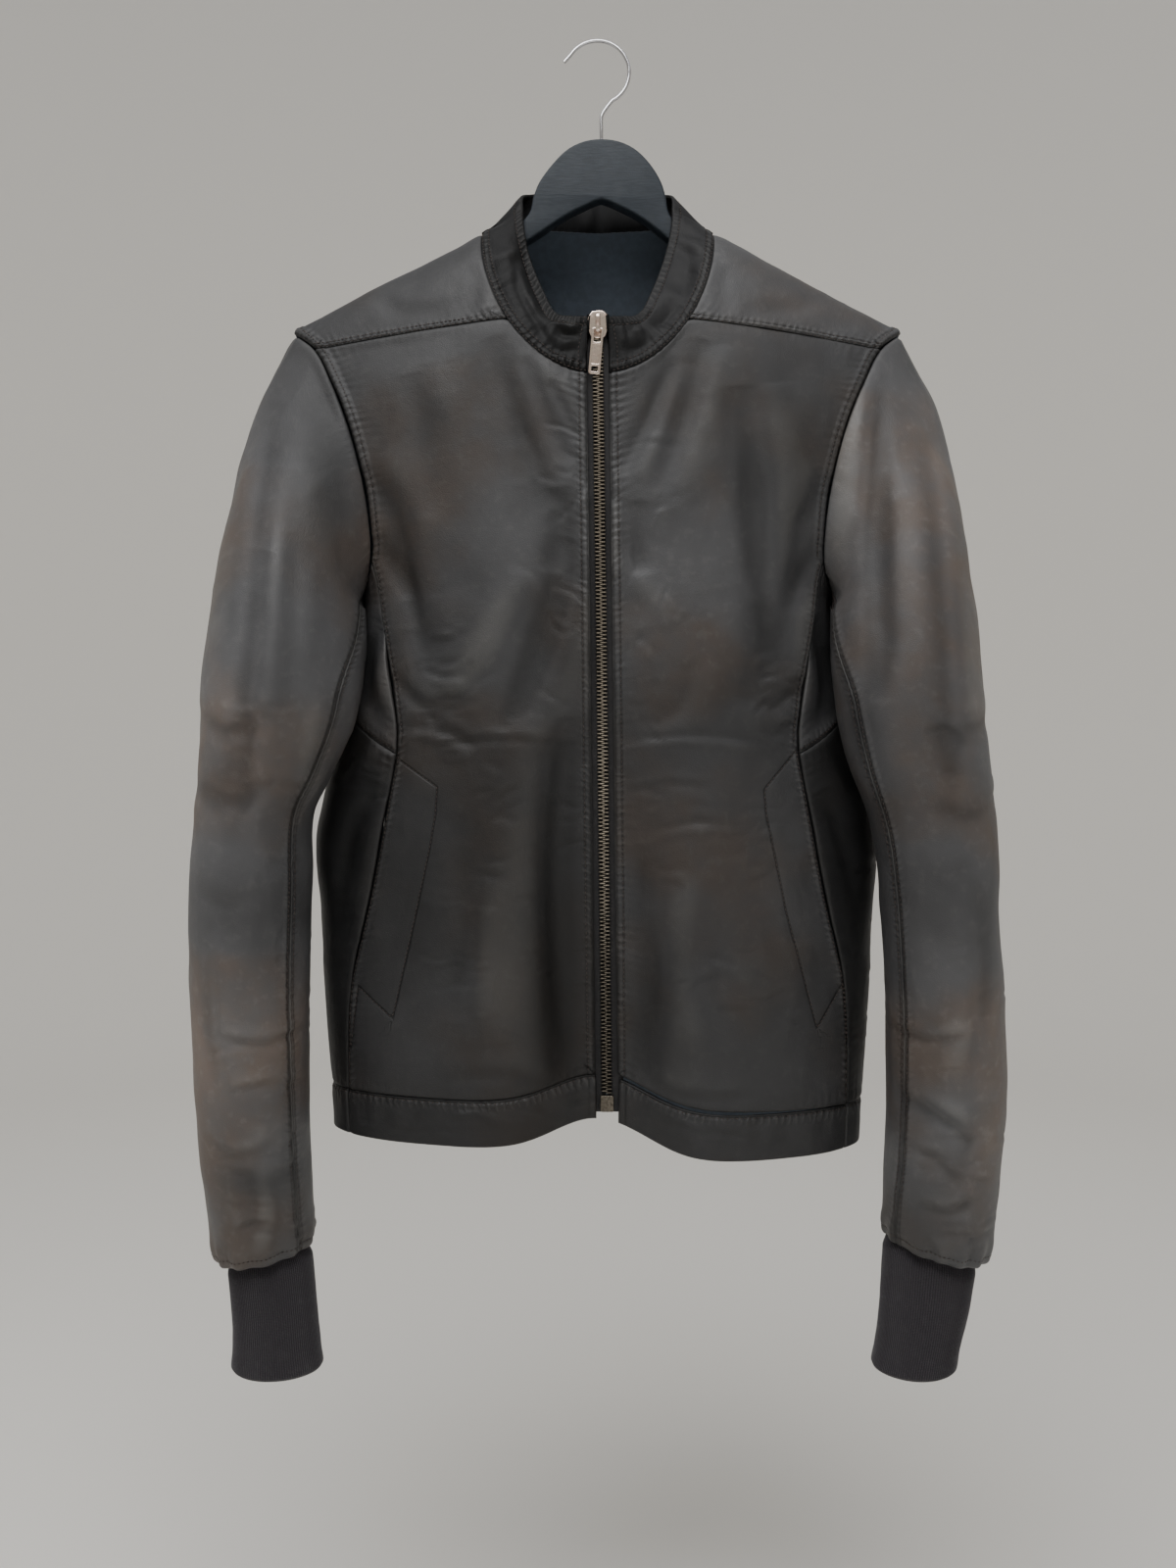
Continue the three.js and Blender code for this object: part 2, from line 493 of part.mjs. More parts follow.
// Point of a tube at an angle from the side next to the torso (0) by the front (90) to outside (180).
function tube(edges, frontBack, angle, drop, side) {
  const [outside, inside] = through(edges[side], drop);
  const [centreY, halfDepth] = through(frontBack, drop);
  const a = radians(angle);
  return [side * ((outside + inside) / 2 - Math.cos(a) * (outside - inside) / 2),
    centreY - Math.sin(a) * halfDepth, -drop];
}
const CAP_PULL = 0.45;
const ARMHOLE_CLEAR = 0.014;    // gap to the armhole seam, as a share of the cap's length
function sleevePoint(angle, t, side) {
  // t runs 0 to 1 over the cap, and on by drop below it
  const capEnd = CAP_END + UNDERARM_DIP * ((1 + Math.cos(radians(angle))) / 2) ** 2;
  if (t >= 1) return tube(SLEEVE_EDGES, SLEEVE_FRONT_BACK, angle, mix(capEnd, SLEEVE_END, t - 1), side);
  const wrapped = ((angle + 180) % 360 + 360) % 360 - 180;
  const face = wrapped >= 0 ? -1 : 1;
  const f = 1 - Math.abs(wrapped) / 180;
  const [x, drop] = armhole(f, face);
  const start = torso(side * x, drop, face);
  if (f <= 0 || f >= 1) start[1] = 0;
  const end = tube(SLEEVE_EDGES, SLEEVE_FRONT_BACK, angle, capEnd, side);
  const reach = Math.hypot(...start.map((v, k) => end[k] - v)) * CAP_PULL;
  const [across, along] = [Math.sin(radians(wrapped)), Math.cos(radians(wrapped))];
  const outward = [mix(0.12, 0.55, (1 - along) / 2) + 0.5 * Math.abs(across), -0.45 * across,
    -0.45 - 0.5 * Math.abs(along)];
  const length = Math.hypot(...outward);
  const leave = [side * outward[0], outward[1], outward[2]].map((v) => v * reach / length);
  const bezier = (k) => {
    const [p0, p1, p2, p3] = [start[k], start[k] + leave[k], end[k] + (k === 2 ? reach * 0.9 : 0), end[k]];
    const s = 1 - t;
    return s ** 3 * p0 + 3 * s * s * t * p1 + 3 * s * t * t * p2 + t ** 3 * p3;
  };
  return [bezier(0), bezier(1), bezier(2)];
}
const toAngle = (f, face) => (face < 0 ? 180 * (1 - f) : -180 * (1 - f));
const SLEEVE_ROWS = [ARMHOLE_CLEAR, 0.25, 0.5, 0.75, 1,
  ...[400, 435, 470, 500, 535, 575, 620, 665, 710, 760, SLEEVE_END].map(
    (drop) => 1 + (drop - CAP_END) / (SLEEVE_END - CAP_END))];
function sleevePiece(angles, side) {
  const axis = (p) => {
    const [outside, inside] = through(SLEEVE_EDGES[side], Math.max(CAP_END, -p[2]));
    const centreY = through(SLEEVE_FRONT_BACK, -p[2])[0];
    const below = -p[2] < CAP_END ? 0.6 : 1;
    return [side * mix(170, (outside + inside) / 2, below), centreY, p[2] - (1 - below) * 60];
  };
  const surface = (angle, t) => sleevePoint(angle, t, side);
  const rows = SLEEVE_ROWS.map((row, j) => angles.map((angle) => {
    const t = j ? row : ARMHOLE_CLEAR * (1 + 7 * ((1 + Math.cos(radians(angle))) / 2) ** 2);
    const sample = sampleSurface(surface, angle, Math.max(t, 0.03), 0.5, 0.01, axis);
    sample.p = surface(angle, t);
    return sample;
  }));
  return shell([rows], LEATHER);
}
const SEAM_ANGLE = 0.3;
const FRONT_STOPS = [0.71, 0.6, 0.47, 0.33, 0.2, 0.07];
const frontSeamAngle = toAngle(CHEST_FRONT_SEAM, -1);
const backSeamAngle = toAngle(SLEEVE_BACK_SEAM, 1);
function sleeveUpper(side) {
  const front = FRONT_STOPS.map((f) => toAngle(f, -1));
  const back = [0, 0.04, 0.12, 0.25].map((f) => 360 + toAngle(f, 1));
  return sleevePiece([frontSeamAngle + SEAM_ANGLE, ...front, ...back,
    360 + backSeamAngle - SEAM_ANGLE], side);
}
function sleeveUnder(side) {
  const back = [0.66, ...UNDERARM_BACK_STOPS].map((f) => toAngle(f, 1));
  const front = UNDERARM_FRONT_STOPS.map((f) => toAngle(f, -1));
  return sleevePiece([backSeamAngle + SEAM_ANGLE, ...back, ...front, frontSeamAngle - SEAM_ANGLE], side);
}
function cuff(side) {
  const surface = (angle, drop) => tube(CUFF_EDGES, CUFF_FRONT_BACK, angle, drop, side);
  const axis = (p) => [side * 214, -22, p[2]];
  const rows = steps(SLEEVE_END + LAYER_GAP, CUFF_END, 3).map((drop) => steps(0, 360, 20).map((angle) => (
    sampleSurface(surface, angle % 360, drop, 0.5, 0.5, axis))));
  return shell([rows], RIB_KNIT);
}

// ---------------------------------------------------------------- zip
const TAPE_WIDTH = 11;
const TAPE_EDGE = 0.3;          // gap from the middle to each tape
const TAPE = 0.9;
const CHAIN_HALF = 3.8;
const CHAIN_DEPTH = 3.2;
const CHAIN_BEHIND = DOUBLE_LEATHER - CHAIN_DEPTH + 0.1;
const END_BOX = { rise: 13.5, height: 11, wider: 0.7 };
const ZIP_BEHIND = DOUBLE_LEATHER + LAYER_GAP;
const SLIDER = { centre: 206.5, width: 13, height: 17, plate: 1.8 };
const zipBottom = () => hemEdge(0, -1) - 1.5;

// Strip that follows the middle of the front, between two sideways places and two depths behind it.
function zipStrip(from, to, behind, thickness, top, bottom, count) {
  const rows = steps(top, bottom, count).map((drop) => steps(from, to, 1).map((across) => {
    const x = zipX(drop) + across;
    const sample = frontAt(zipX(drop), Math.max(drop, 245));
    sample.p = [x, frontLine(drop), -drop];
    sample.n = [0, sample.n[1], sample.n[2]];
    return sample;
  }));
  return shell([rows], thickness, behind);
}
// y of the front edges at the zip, the collar included
function frontLine(drop) {
  const seam = neckDrop(0);
  if (drop >= seam) return torso(zipX(drop), drop, -1)[1];
  return mix(torso(0, seam, -1)[1], COLLAR_EDGE[0][2], (seam - drop) / (seam - COLLAR_EDGE[0][3]));
}
const SLIDER_BACK = SLIDER.centre + SLIDER.height / 2;
const tapeStrip = (side) => zipStrip(...[side * TAPE_EDGE, side * TAPE_WIDTH].sort((a, b) => a - b),
  ZIP_BEHIND, TAPE, ZIP_TOP + 1, zipBottom() - 2, 16);
const chainStrip = () => zipStrip(-CHAIN_HALF, CHAIN_HALF, CHAIN_BEHIND, CHAIN_DEPTH,
  SLIDER_BACK + 0.5, zipBottom() - END_BOX.rise - 0.5, 16);
const endBox = () => zipStrip(-CHAIN_HALF - END_BOX.wider, CHAIN_HALF + END_BOX.wider, CHAIN_BEHIND,
  CHAIN_DEPTH, zipBottom() - END_BOX.rise, zipBottom() - END_BOX.rise + END_BOX.height, 1);

const wasm = await Module();
wasm.setup();
function solid(geometry) {
  geometry.deleteAttribute('normal');
  geometry.deleteAttribute('uv');
  const merged = mergeVertices(geometry, 1e-4);
  return new wasm.Manifold(new wasm.Mesh({
    numProp: 3,
    vertProperties: new Float32Array(merged.attributes.position.array),
    triVerts: new Uint32Array(merged.index.array),
  }));
}
function toGeometry(manifold) {
  const mesh = manifold.getMesh();
  const geometry = new THREE.BufferGeometry();
  geometry.setAttribute('position', new THREE.BufferAttribute(new Float32Array(mesh.vertProperties), 3));
  geometry.setIndex(new THREE.BufferAttribute(new Uint32Array(mesh.triVerts), 1));
  return geometry;
}
function boxAt(width, depth, height, x, y, z) {
  const geometry = new THREE.BoxGeometry(width, depth, height);
  geometry.translate(x, y, z);
  return geometry;
}
function plateOutline(points, depth) {
  const shape = new THREE.Shape(points.map(([x, z]) => new THREE.Vector2(x, z)));
  const geometry = new THREE.ExtrudeGeometry(shape, { depth, bevelEnabled: false });
  geometry.rotateX(Math.PI / 2);     // outline in x and z, depth towards -y
  return geometry;
}

// Slider: shield-shaped front plate, crown post, and the bridge that holds the pull tab.
const PLATE_Y = frontLine(SLIDER.centre) + 0.2;   // back of the front plate
const BRIDGE = { width: 3, reach: 4.4, wire: 1.2, top: SLIDER.centre - 6, bottom: SLIDER.centre + 6.5 };
function sliderBody() {
  const [w, h] = [SLIDER.width / 2, SLIDER.height / 2];
  const shield = plateOutline([[-w * 0.55, h], [w * 0.55, h], [w, h * 0.55], [w * 0.92, -h * 0.5],
    [w * 0.6, -h], [-w * 0.6, -h], [-w * 0.92, -h * 0.5], [-w, h * 0.55]], SLIDER.plate);
  shield.translate(0, PLATE_Y, -SLIDER.centre);
  let body = solid(shield);
  const outerY = PLATE_Y - SLIDER.plate;
  const { width, reach, wire, top, bottom } = BRIDGE;
  const mid = (top + bottom) / 2;
  body = body.add(solid(boxAt(width, wire, bottom - top, 0, outerY - reach + wire / 2, -mid)));
  for (const drop of [top + wire / 2, bottom - wire / 2]) {
    body = body.add(solid(boxAt(width, reach + 0.5, wire, 0, outerY - reach / 2 + 0.25, -drop)));
  }
  // crown post, behind the plate, between the two halves of the tape
  body = body.add(solid(boxAt(0.35, 3.4, 5, 0, PLATE_Y + 1.5, -(SLIDER.centre - h + 3.5))));
  return toGeometry(body);
}

// Pull tab: frame with a window for the bridge and a small one at the free end, hinged on its top bar.
const TAB = { width: 7.6, length: 29, thickness: 1.5, window: 4.4, windowHeight: 8, topBar: 0.4, lean: 5 };
const TAB_END = { window: 4, height: 3.4, up: 3.4 };
const HINGE = { x: 0, y: PLATE_Y - SLIDER.plate - 2.2, drop: BRIDGE.bottom - BRIDGE.wire - 1.25 };
function pullTab() {
  const { width, length, thickness, window, windowHeight, topBar } = TAB;
  const bar = new THREE.CylinderGeometry(thickness / 2, thickness / 2, width, 12);
  bar.rotateZ(Math.PI / 2);
  let tab = solid(boxAt(width, thickness, length - 0.2, 0, 0, -length / 2 - 0.1)).add(solid(bar));
  tab = tab.subtract(solid(boxAt(window, 2 * thickness, windowHeight, 0, 0, -topBar - windowHeight / 2)));
  tab = tab.subtract(solid(boxAt(TAB_END.window, 2 * thickness, TAB_END.height, 0, 0, TAB_END.up - length)));
  return toGeometry(tab);
}

// ---------------------------------------------------------------- hanger
const HANGER = { x: 2.7, thickness: 11, back: 0.5, apex: 67, bore: 1.5 };   // x of its middle, behind the hook
function hangerBody() {
  // one arm's outline: along the top from the hump to the tip, then back underneath
  const arm = [[0, HANGER.apex], [12, 68.6], [23, 74], [33, 84], [41, 96], [44.5, 106], [47, 117], [58, 129],
    [77, 142], [176, 197], [178, 203], [171, 209], [118, 182], [78, 158], [46, 134], [24, 118.5], [8, 110.5]];
  const right = arm.map(([x, drop]) => [x, -drop]);
  const left = arm.slice(1).reverse().map(([x, drop]) => [-x, -drop]);
  const outline = [...right, [0, -107.5], ...left];
  const geometry = plateOutline(outline.map(([x, z]) => [x + (Math.abs(x) < 40 ? HANGER.x : 0), z]),
    HANGER.thickness);
  geometry.translate(0, HANGER.thickness / 2 + HANGER.back, 0);
  const bore = new THREE.CylinderGeometry(HANGER.bore, HANGER.bore, 30, 12);
  bore.rotateX(Math.PI / 2);
  bore.translate(HANGER.x, 0, -HANGER.apex + 2);
  return toGeometry(solid(geometry).subtract(solid(bore)));
}
const WIRE = 1.2;               // radius of the hook's wire
const WIRE_SIDES = 8;
const HOOK_RADIUS = 21.5;
function hangerHook() {
  const centreZ = WIRE - HOOK_RADIUS;
  const points = [new THREE.Vector3(-22.4, 0, centreZ + 7)];
  for (const degrees of steps(146, -62, 14)) {
    const a = radians(degrees);
    points.push(new THREE.Vector3(HOOK_RADIUS * Math.cos(a), 0, centreZ + HOOK_RADIUS * Math.sin(a)));
  }
  points.push(new THREE.Vector3(HANGER.x + 1.2, 0, -47.5));
  points.push(new THREE.Vector3(HANGER.x, 0, -51));
  points.push(new THREE.Vector3(HANGER.x, 0, -HANGER.apex + 0.3));
  const path = new THREE.CatmullRomCurve3(points);
  const section = new THREE.Shape(steps(0, 360 - 360 / WIRE_SIDES, WIRE_SIDES - 1).map((angle) => (
    new THREE.Vector2(WIRE * Math.cos(radians(angle)), WIRE * Math.sin(radians(angle))))));
  return new THREE.ExtrudeGeometry(section, { steps: 34, bevelEnabled: false, extrudePath: path });
}

// ---------------------------------------------------------------- materials and assembly
const finish = (color, roughness, metalness = 0) => new THREE.MeshStandardMaterial({ color, roughness, metalness });
const leather = finish(0x3b3836, 0.55);
const darkLeather = finish(0x2c2b2b, 0.6);
const rib = finish(0x26232a, 0.95);
const lining = finish(0x222a33, 0.7);
const tape = finish(0x202022, 0.9);
const brass = finish(0x6d6a5f, 0.4, 1);
const nickel = finish(0xb79a8c, 0.25, 1);
const chrome = finish(0xc8c8cc, 0.15, 1);
const wood = finish(0x30353a, 0.75);

const group = new THREE.Group();
function add(name, geometry, material, place = [0, 0, 0], lean = 0) {
  const mesh = new THREE.Mesh(geometry, material);
  mesh.name = name;
  mesh.position.set(...place);
  mesh.rotation.y = radians(lean);
  group.add(mesh);
}

add('hanger_body', hangerBody(), wood);
add('hanger_hook', hangerHook(), chrome);
const backPatches = backPanel();
add('back', shell(backPatches, LEATHER), leather);
add('collar', collar(), leather);
add('neck_lining', neckLining(backPatches), lining);
for (const [side, mark] of [[-1, 'l'], [1, 'r']]) {
  const front = frontPanel(side);
  add(`front_${mark}`, shell([front], LEATHER), leather);
  add(`underarm_${mark}`, underarm(side), darkLeather);
  add(`side_${mark}`, sidePanel(side), darkLeather);
  add(`pocket_facing_${mark}`, pocketFacing(front), darkLeather);
  add(`sleeve_upper_${mark}`, sleeveUpper(side), leather);
  add(`sleeve_under_${mark}`, sleeveUnder(side), leather);
  add(`cuff_${mark}`, cuff(side), rib);
  add(`hem_front_${mark}`, hemFront(side), leather);
  add(`zip_tape_${mark}`, tapeStrip(side), tape);
}
add('hem_back', hemBack(), leather);
add('zip_chain', chainStrip(), brass);
add('zip_end_box', endBox(), brass);
add('zip_slider', sliderBody(), nickel);
add('zip_pull_tab', pullTab(), nickel, [HINGE.x, HINGE.y, -HINGE.drop], TAB.lean);

export default group;
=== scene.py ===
"""Worn leather zip jacket on its hanger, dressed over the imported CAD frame.

Lengths are millimetres until build_mesh() turns them into metres. The front faces -y, and a drop is
measured down from the inside top of the hook (drop = -z), as in the CAD part.
"""
import math

import bmesh
import bpy
import mathutils
import mathutils.kdtree
import numpy as np
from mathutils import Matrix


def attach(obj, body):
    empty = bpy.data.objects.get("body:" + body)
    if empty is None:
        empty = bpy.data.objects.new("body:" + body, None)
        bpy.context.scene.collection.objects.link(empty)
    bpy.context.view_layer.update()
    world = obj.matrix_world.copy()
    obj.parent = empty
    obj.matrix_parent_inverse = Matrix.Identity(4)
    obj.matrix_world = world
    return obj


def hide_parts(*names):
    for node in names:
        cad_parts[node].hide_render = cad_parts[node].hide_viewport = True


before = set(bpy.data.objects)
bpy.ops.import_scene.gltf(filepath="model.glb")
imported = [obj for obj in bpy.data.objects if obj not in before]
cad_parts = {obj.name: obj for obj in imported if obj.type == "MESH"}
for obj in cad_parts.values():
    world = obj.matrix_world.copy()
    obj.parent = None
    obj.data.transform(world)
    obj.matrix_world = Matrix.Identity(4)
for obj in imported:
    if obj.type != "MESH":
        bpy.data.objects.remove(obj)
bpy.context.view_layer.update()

MM = 0.001

# ---------------------------------------------------------------- driving dimensions, as in the CAD part
LEATHER, DOUBLE_LEATHER, LINING, RIB_KNIT, TAPE = 2.0, 2.6, 1.0, 2.6, 0.9
SEAM = 0.2
LAYER_GAP = 0.4
NECK_HALF, NECK_TOP, NECK_FRONT_DEPTH, NECK_BACK_RISE = 77, 131, 107, 9
SHOULDER_FALL, SHOULDER_ROUND = 0.51, 110
QUARTER = SHOULDER_ROUND * math.pi / 2
SIDE_FULLNESS = 0.9
YOKE_ANGLE, YOKE_DROP, YOKE_FALL = 48, 201, 0.09
HEM_DROP, HEM_HEIGHT = 733, 29
ZIP_HALF_GAP, ZIP_DRIFT, ZIP_TOP = 7, 0.0125, 200
ZIP_ANGLE = math.degrees(math.asin(ZIP_HALF_GAP / NECK_HALF))
VALLEY_WIDTH = 43
CHEST_FRONT_SEAM, CHEST_BACK_SEAM, SLEEVE_BACK_SEAM = 0.82, 0.8, 0.5
CAP_END, UNDERARM_DIP, SLEEVE_END, CUFF_END = 367, 26, 811, 884
SLANT_FRONT, SLANT_BACK = 481, 430
LEFT, RIGHT = -1, 1
SIDES = ((LEFT, "l"), (RIGHT, "r"))
YOKE_SHARE = 0.07               # where the forward shoulder seam meets the armhole
OUTER_ARC = 270                 # the upper sleeve ends this far round the arm
FAR = 60.0                      # a distance from a seam at which it no longer shows
# the last of these scales the leather colour: a little random tone, and mostly painted light and shade
POINT_VALUES = ("seam", "along", "crest", "line", "route", "warm", "tone")

HALF_WIDTH = [[110, 222], [200, 221], [250, 210], [300, 190], [345, 168], [373, 158], [400, 158.5],
              [425, 163], [450, 168], [480, 175.5], [510, 183.5], [540, 188.5], [585, 185.5], [650, 181.5],
              [690, 178.5], [745, 175]]
FRONT_DEPTH = [[110, 44], [240, 50], [350, 60], [500, 64], [650, 71], [745, 75]]
BACK_DEPTH = [[110, 46], [240, 53], [350, 56], [500, 50], [745, 53]]
ZIP_VALLEY = [[200, 0], [350, 4], [500, 13], [650, 28], [745, 41]]
ARMHOLE_FRONT = [[0, 205, 197.5], [0.07, 188, 212], [0.2, 175, 236], [0.33, 164, 262], [0.47, 155.5, 290],
                 [0.6, 150, 316], [0.74, 147.5, 342], [0.82, 148.5, 355], [0.91, 152.5, 367], [1, 158, 373]]
ARMHOLE_BACK = [[0, 205, 197.5], [0.1, 198, 213], [0.3, 184.5, 252], [0.5, 173, 292], [0.7, 162.5, 332],
                [0.8, 159, 350], [0.9, 157, 365], [1, 158, 373]]
FRONT_SIDE_SEAM = [[355, 148.5], [370, 144], [400, 139.5], [432, 134], [459, 130], [480, 129.5], [506, 134],
                   [563, 144.5], [596, 152], [627, 160], [660, 162.5], [745, 162.5]]
BACK_SIDE_SEAM = [[350, 159], [380, 152], [430, 147], [480, 146], [560, 151], [745, 154]]
COLLAR_EDGE = [[0, 0, -46, 200], [22, 17, -45, 199.5], [38, 27, -41, 196], [52, 35, -33, 179],
               [65, 42, -21, 158], [78, 47.5, -14, 136], [88, 50, -8, 118], [98, 51, 1, 104],
               [110, 49.5, 12, 97], [130, 43, 26, 91], [155, 25, 36, 87.5], [180, 0, 39, 86]]
SLEEVE_EDGES = {
    LEFT: [[367, 247.5, 155.7], [390, 249, 153], [421, 251.3, 152.5], [458, 253.6, 157], [493, 254.9, 171],
           [520, 256, 182.8], [564, 258.2, 184.3], [627, 259.2, 186.5], [682, 257.5, 187.7],
           [727, 254.9, 188],
           [772, 253, 187.5], [811, 248.6, 188.5]],
    RIGHT: [[367, 243.4, 155], [390, 243.5, 151.5], [421, 243.8, 150], [458, 246.2, 153.5],
            [493, 249.3, 161.5],
            [525, 252.1, 172.3], [565, 254.6, 179.3], [627, 258.6, 184.4], [672, 260.7, 186.1],
            [727, 260.8, 187], [772, 258.9, 185.5], [811, 255.7, 187.5]]}
SLEEVE_FRONT_BACK = [[367, -22, 52], [420, -38, 51], [480, -48, 47], [560, -49, 45], [640, -45, 43],
                     [720, -38, 39], [780, -29, 35], [811, -24, 31]]
CUFF_EDGES = {LEFT: [[806, 243.5, 188.5], [845, 240, 185.5], [884, 240.2, 182]],
              RIGHT: [[806, 249.5, 187.5], [845, 243.5, 185.8], [884, 235, 181]]}
CUFF_FRONT_BACK = [[806, -24, 27], [884, -20, 27]]


# ---------------------------------------------------------------- camera, light and stage
def add_object(name, data):
    obj = bpy.data.objects.new(name, data)
    bpy.context.scene.collection.objects.link(obj)
    return obj


def aim(obj, target):
    """Turns obj so that it looks from where it is at target, in metres."""
    direction = [target[k] - obj.location[k] for k in range(3)]
    flat = math.hypot(direction[0], direction[1])
    obj.rotation_euler = (math.atan2(flat, -direction[2]), 0, math.atan2(-direction[0], direction[1]))


def add_camera():
    data = bpy.data.cameras.new("camera")
    data.sensor_width = 36
    data.lens = 30.6
    camera = add_object("camera", data)
    camera.location = (-0.00635, -0.9, -0.5006)
    camera.rotation_euler = (math.pi / 2, 0, 0)
    bpy.context.scene.camera = camera


def add_light(name, place, target, size, power):
    data = bpy.data.lights.new(name, "AREA")
    data.shape = "RECTANGLE"
    data.size, data.size_y = size
    data.energy = power
    light = add_object(name, data)
    light.location = place
    aim(light, target)


def add_stage():
    """A pale floor that sweeps up into a round backdrop, well outside every camera."""
    floor_z, radius, sweep, height = -1.2, 3.6, 1.2, 3.4
    profile = [(0.001, floor_z)]
    profile += [(radius - sweep + sweep * math.sin(a), floor_z + sweep * (1 - math.cos(a)))
                for a in np.linspace(0, math.pi / 2, 14)]
    profile.append((radius, floor_z + height))
    turns = 72
    angles = np.linspace(0, 2 * math.pi, turns, endpoint=False)
    verts = [(r * math.cos(a), r * math.sin(a), z) for r, z in profile for a in angles]
    faces = [(j * turns + i, j * turns + (i + 1) % turns, (j + 1) * turns + (i + 1) % turns,
              (j + 1) * turns + i) for j in range(len(profile) - 1) for i in range(turns)]
    mesh = bpy.data.meshes.new("floor")
    mesh.from_pydata(verts, [], faces)
    mesh.shade_smooth()
    mesh.materials.append(Material("studio_floor").finish((0.80, 0.78, 0.74), 0.9))
    add_object("floor", mesh)


# ---------------------------------------------------------------- materials
class Material:
    """A small helper for node materials: methods add nodes and return the output socket to go on from."""

    def __init__(self, name):
        self.data = bpy.data.materials.new(name)
        self.data.use_nodes = True
        self.tree = self.data.node_tree
        self.tree.nodes.clear()

    def node(self, kind, inputs=(), output=0, **settings):
        node = self.tree.nodes.new(kind)
        for key, value in settings.items():
            setattr(node, key, value)
        for key, value in dict(inputs).items():
            self.put(node.inputs[key], value)
        return node.outputs[output]

    def put(self, socket, value):
        if isinstance(value, bpy.types.NodeSocket):
            self.tree.links.new(value, socket)
        elif isinstance(value, (tuple, list)) and len(value) == 3 and socket.type == "RGBA":
            socket.default_value = (*value, 1)
        else:
            socket.default_value = value

    def place(self, stretch=(1, 1, 1)):
        """Position on the object in millimetres, optionally stretched."""
        where = self.node("ShaderNodeTexCoord", output="Object")
        return self.node("ShaderNodeMapping", {"Vector": where, "Scale": tuple(1000 * s for s in stretch)})

    def noise(self, vector, size, detail=2.0, roughness=0.5):
        return self.node("ShaderNodeTexNoise", {"Vector": vector, "Scale": 1 / size, "Detail": detail,
                                                "Roughness": roughness})

    def cells(self, vector, size):
        return self.node("ShaderNodeTexVoronoi", {"Vector": vector, "Scale": 1 / size},
                         feature="DISTANCE_TO_EDGE")

    def math(self, operation, a, b=0.0, clamp=False):
        return self.node("ShaderNodeMath", {0: a, 1: b}, operation=operation, use_clamp=clamp)

    def product(self, first, *others):
        for other in others:
            first = self.math("MULTIPLY", first, other)
        return first

    def total(self, first, *others):
        for other in others:
            first = self.math("ADD", first, other)
        return first

    def wave(self, value, pitch):
        return self.math("SINE", self.product(value, 2 * math.pi / pitch))

    def axes(self, vector):
        split = self.tree.nodes.new("ShaderNodeSeparateXYZ")
        self.put(split.inputs[0], vector)
        return split.outputs

    def shaded(self, colour, grey):
        """A colour multiplied by one number."""
        grey = self.node("ShaderNodeCombineColor", {0: grey, 1: grey, 2: grey})
        return self.mix(1.0, colour, grey, "MULTIPLY")

    def ramp(self, value, low, high, to_low=0.0, to_high=1.0):
        return self.node("ShaderNodeMapRange", {"Value": value, "From Min": low, "From Max": high,
                                                "To Min": to_low, "To Max": to_high},
                         interpolation_type="SMOOTHSTEP")

    def mix(self, share, a, b, blend="MIX"):
        node = self.tree.nodes.new("ShaderNodeMix")
        node.data_type, node.blend_type = "RGBA", blend
        for socket, value in ((node.inputs[0], share), (node.inputs[6], a), (node.inputs[7], b)):
            self.put(socket, value)
        return node.outputs[2]

    def value(self, name):
        """A number stored on the mesh's points."""
        return self.node("ShaderNodeAttribute", attribute_name=name, output="Fac")

    def finish(self, base, roughness, height=None, **settings):
        """height is the relief in millimetres."""
        shader = self.tree.nodes.new("ShaderNodeBsdfPrincipled")
        self.put(shader.inputs["Base Color"], base)
        self.put(shader.inputs["Roughness"], roughness)
        if height is not None:
            self.put(shader.inputs["Normal"], self.node("ShaderNodeBump", {
                "Height": height, "Strength": 1.0, "Distance": MM}))
        for key, value in settings.items():
            self.put(shader.inputs[key.replace("_", " ")], value)
        output = self.tree.nodes.new("ShaderNodeOutputMaterial")
        self.put(output.inputs["Surface"], shader.outputs[0])
        return self.data


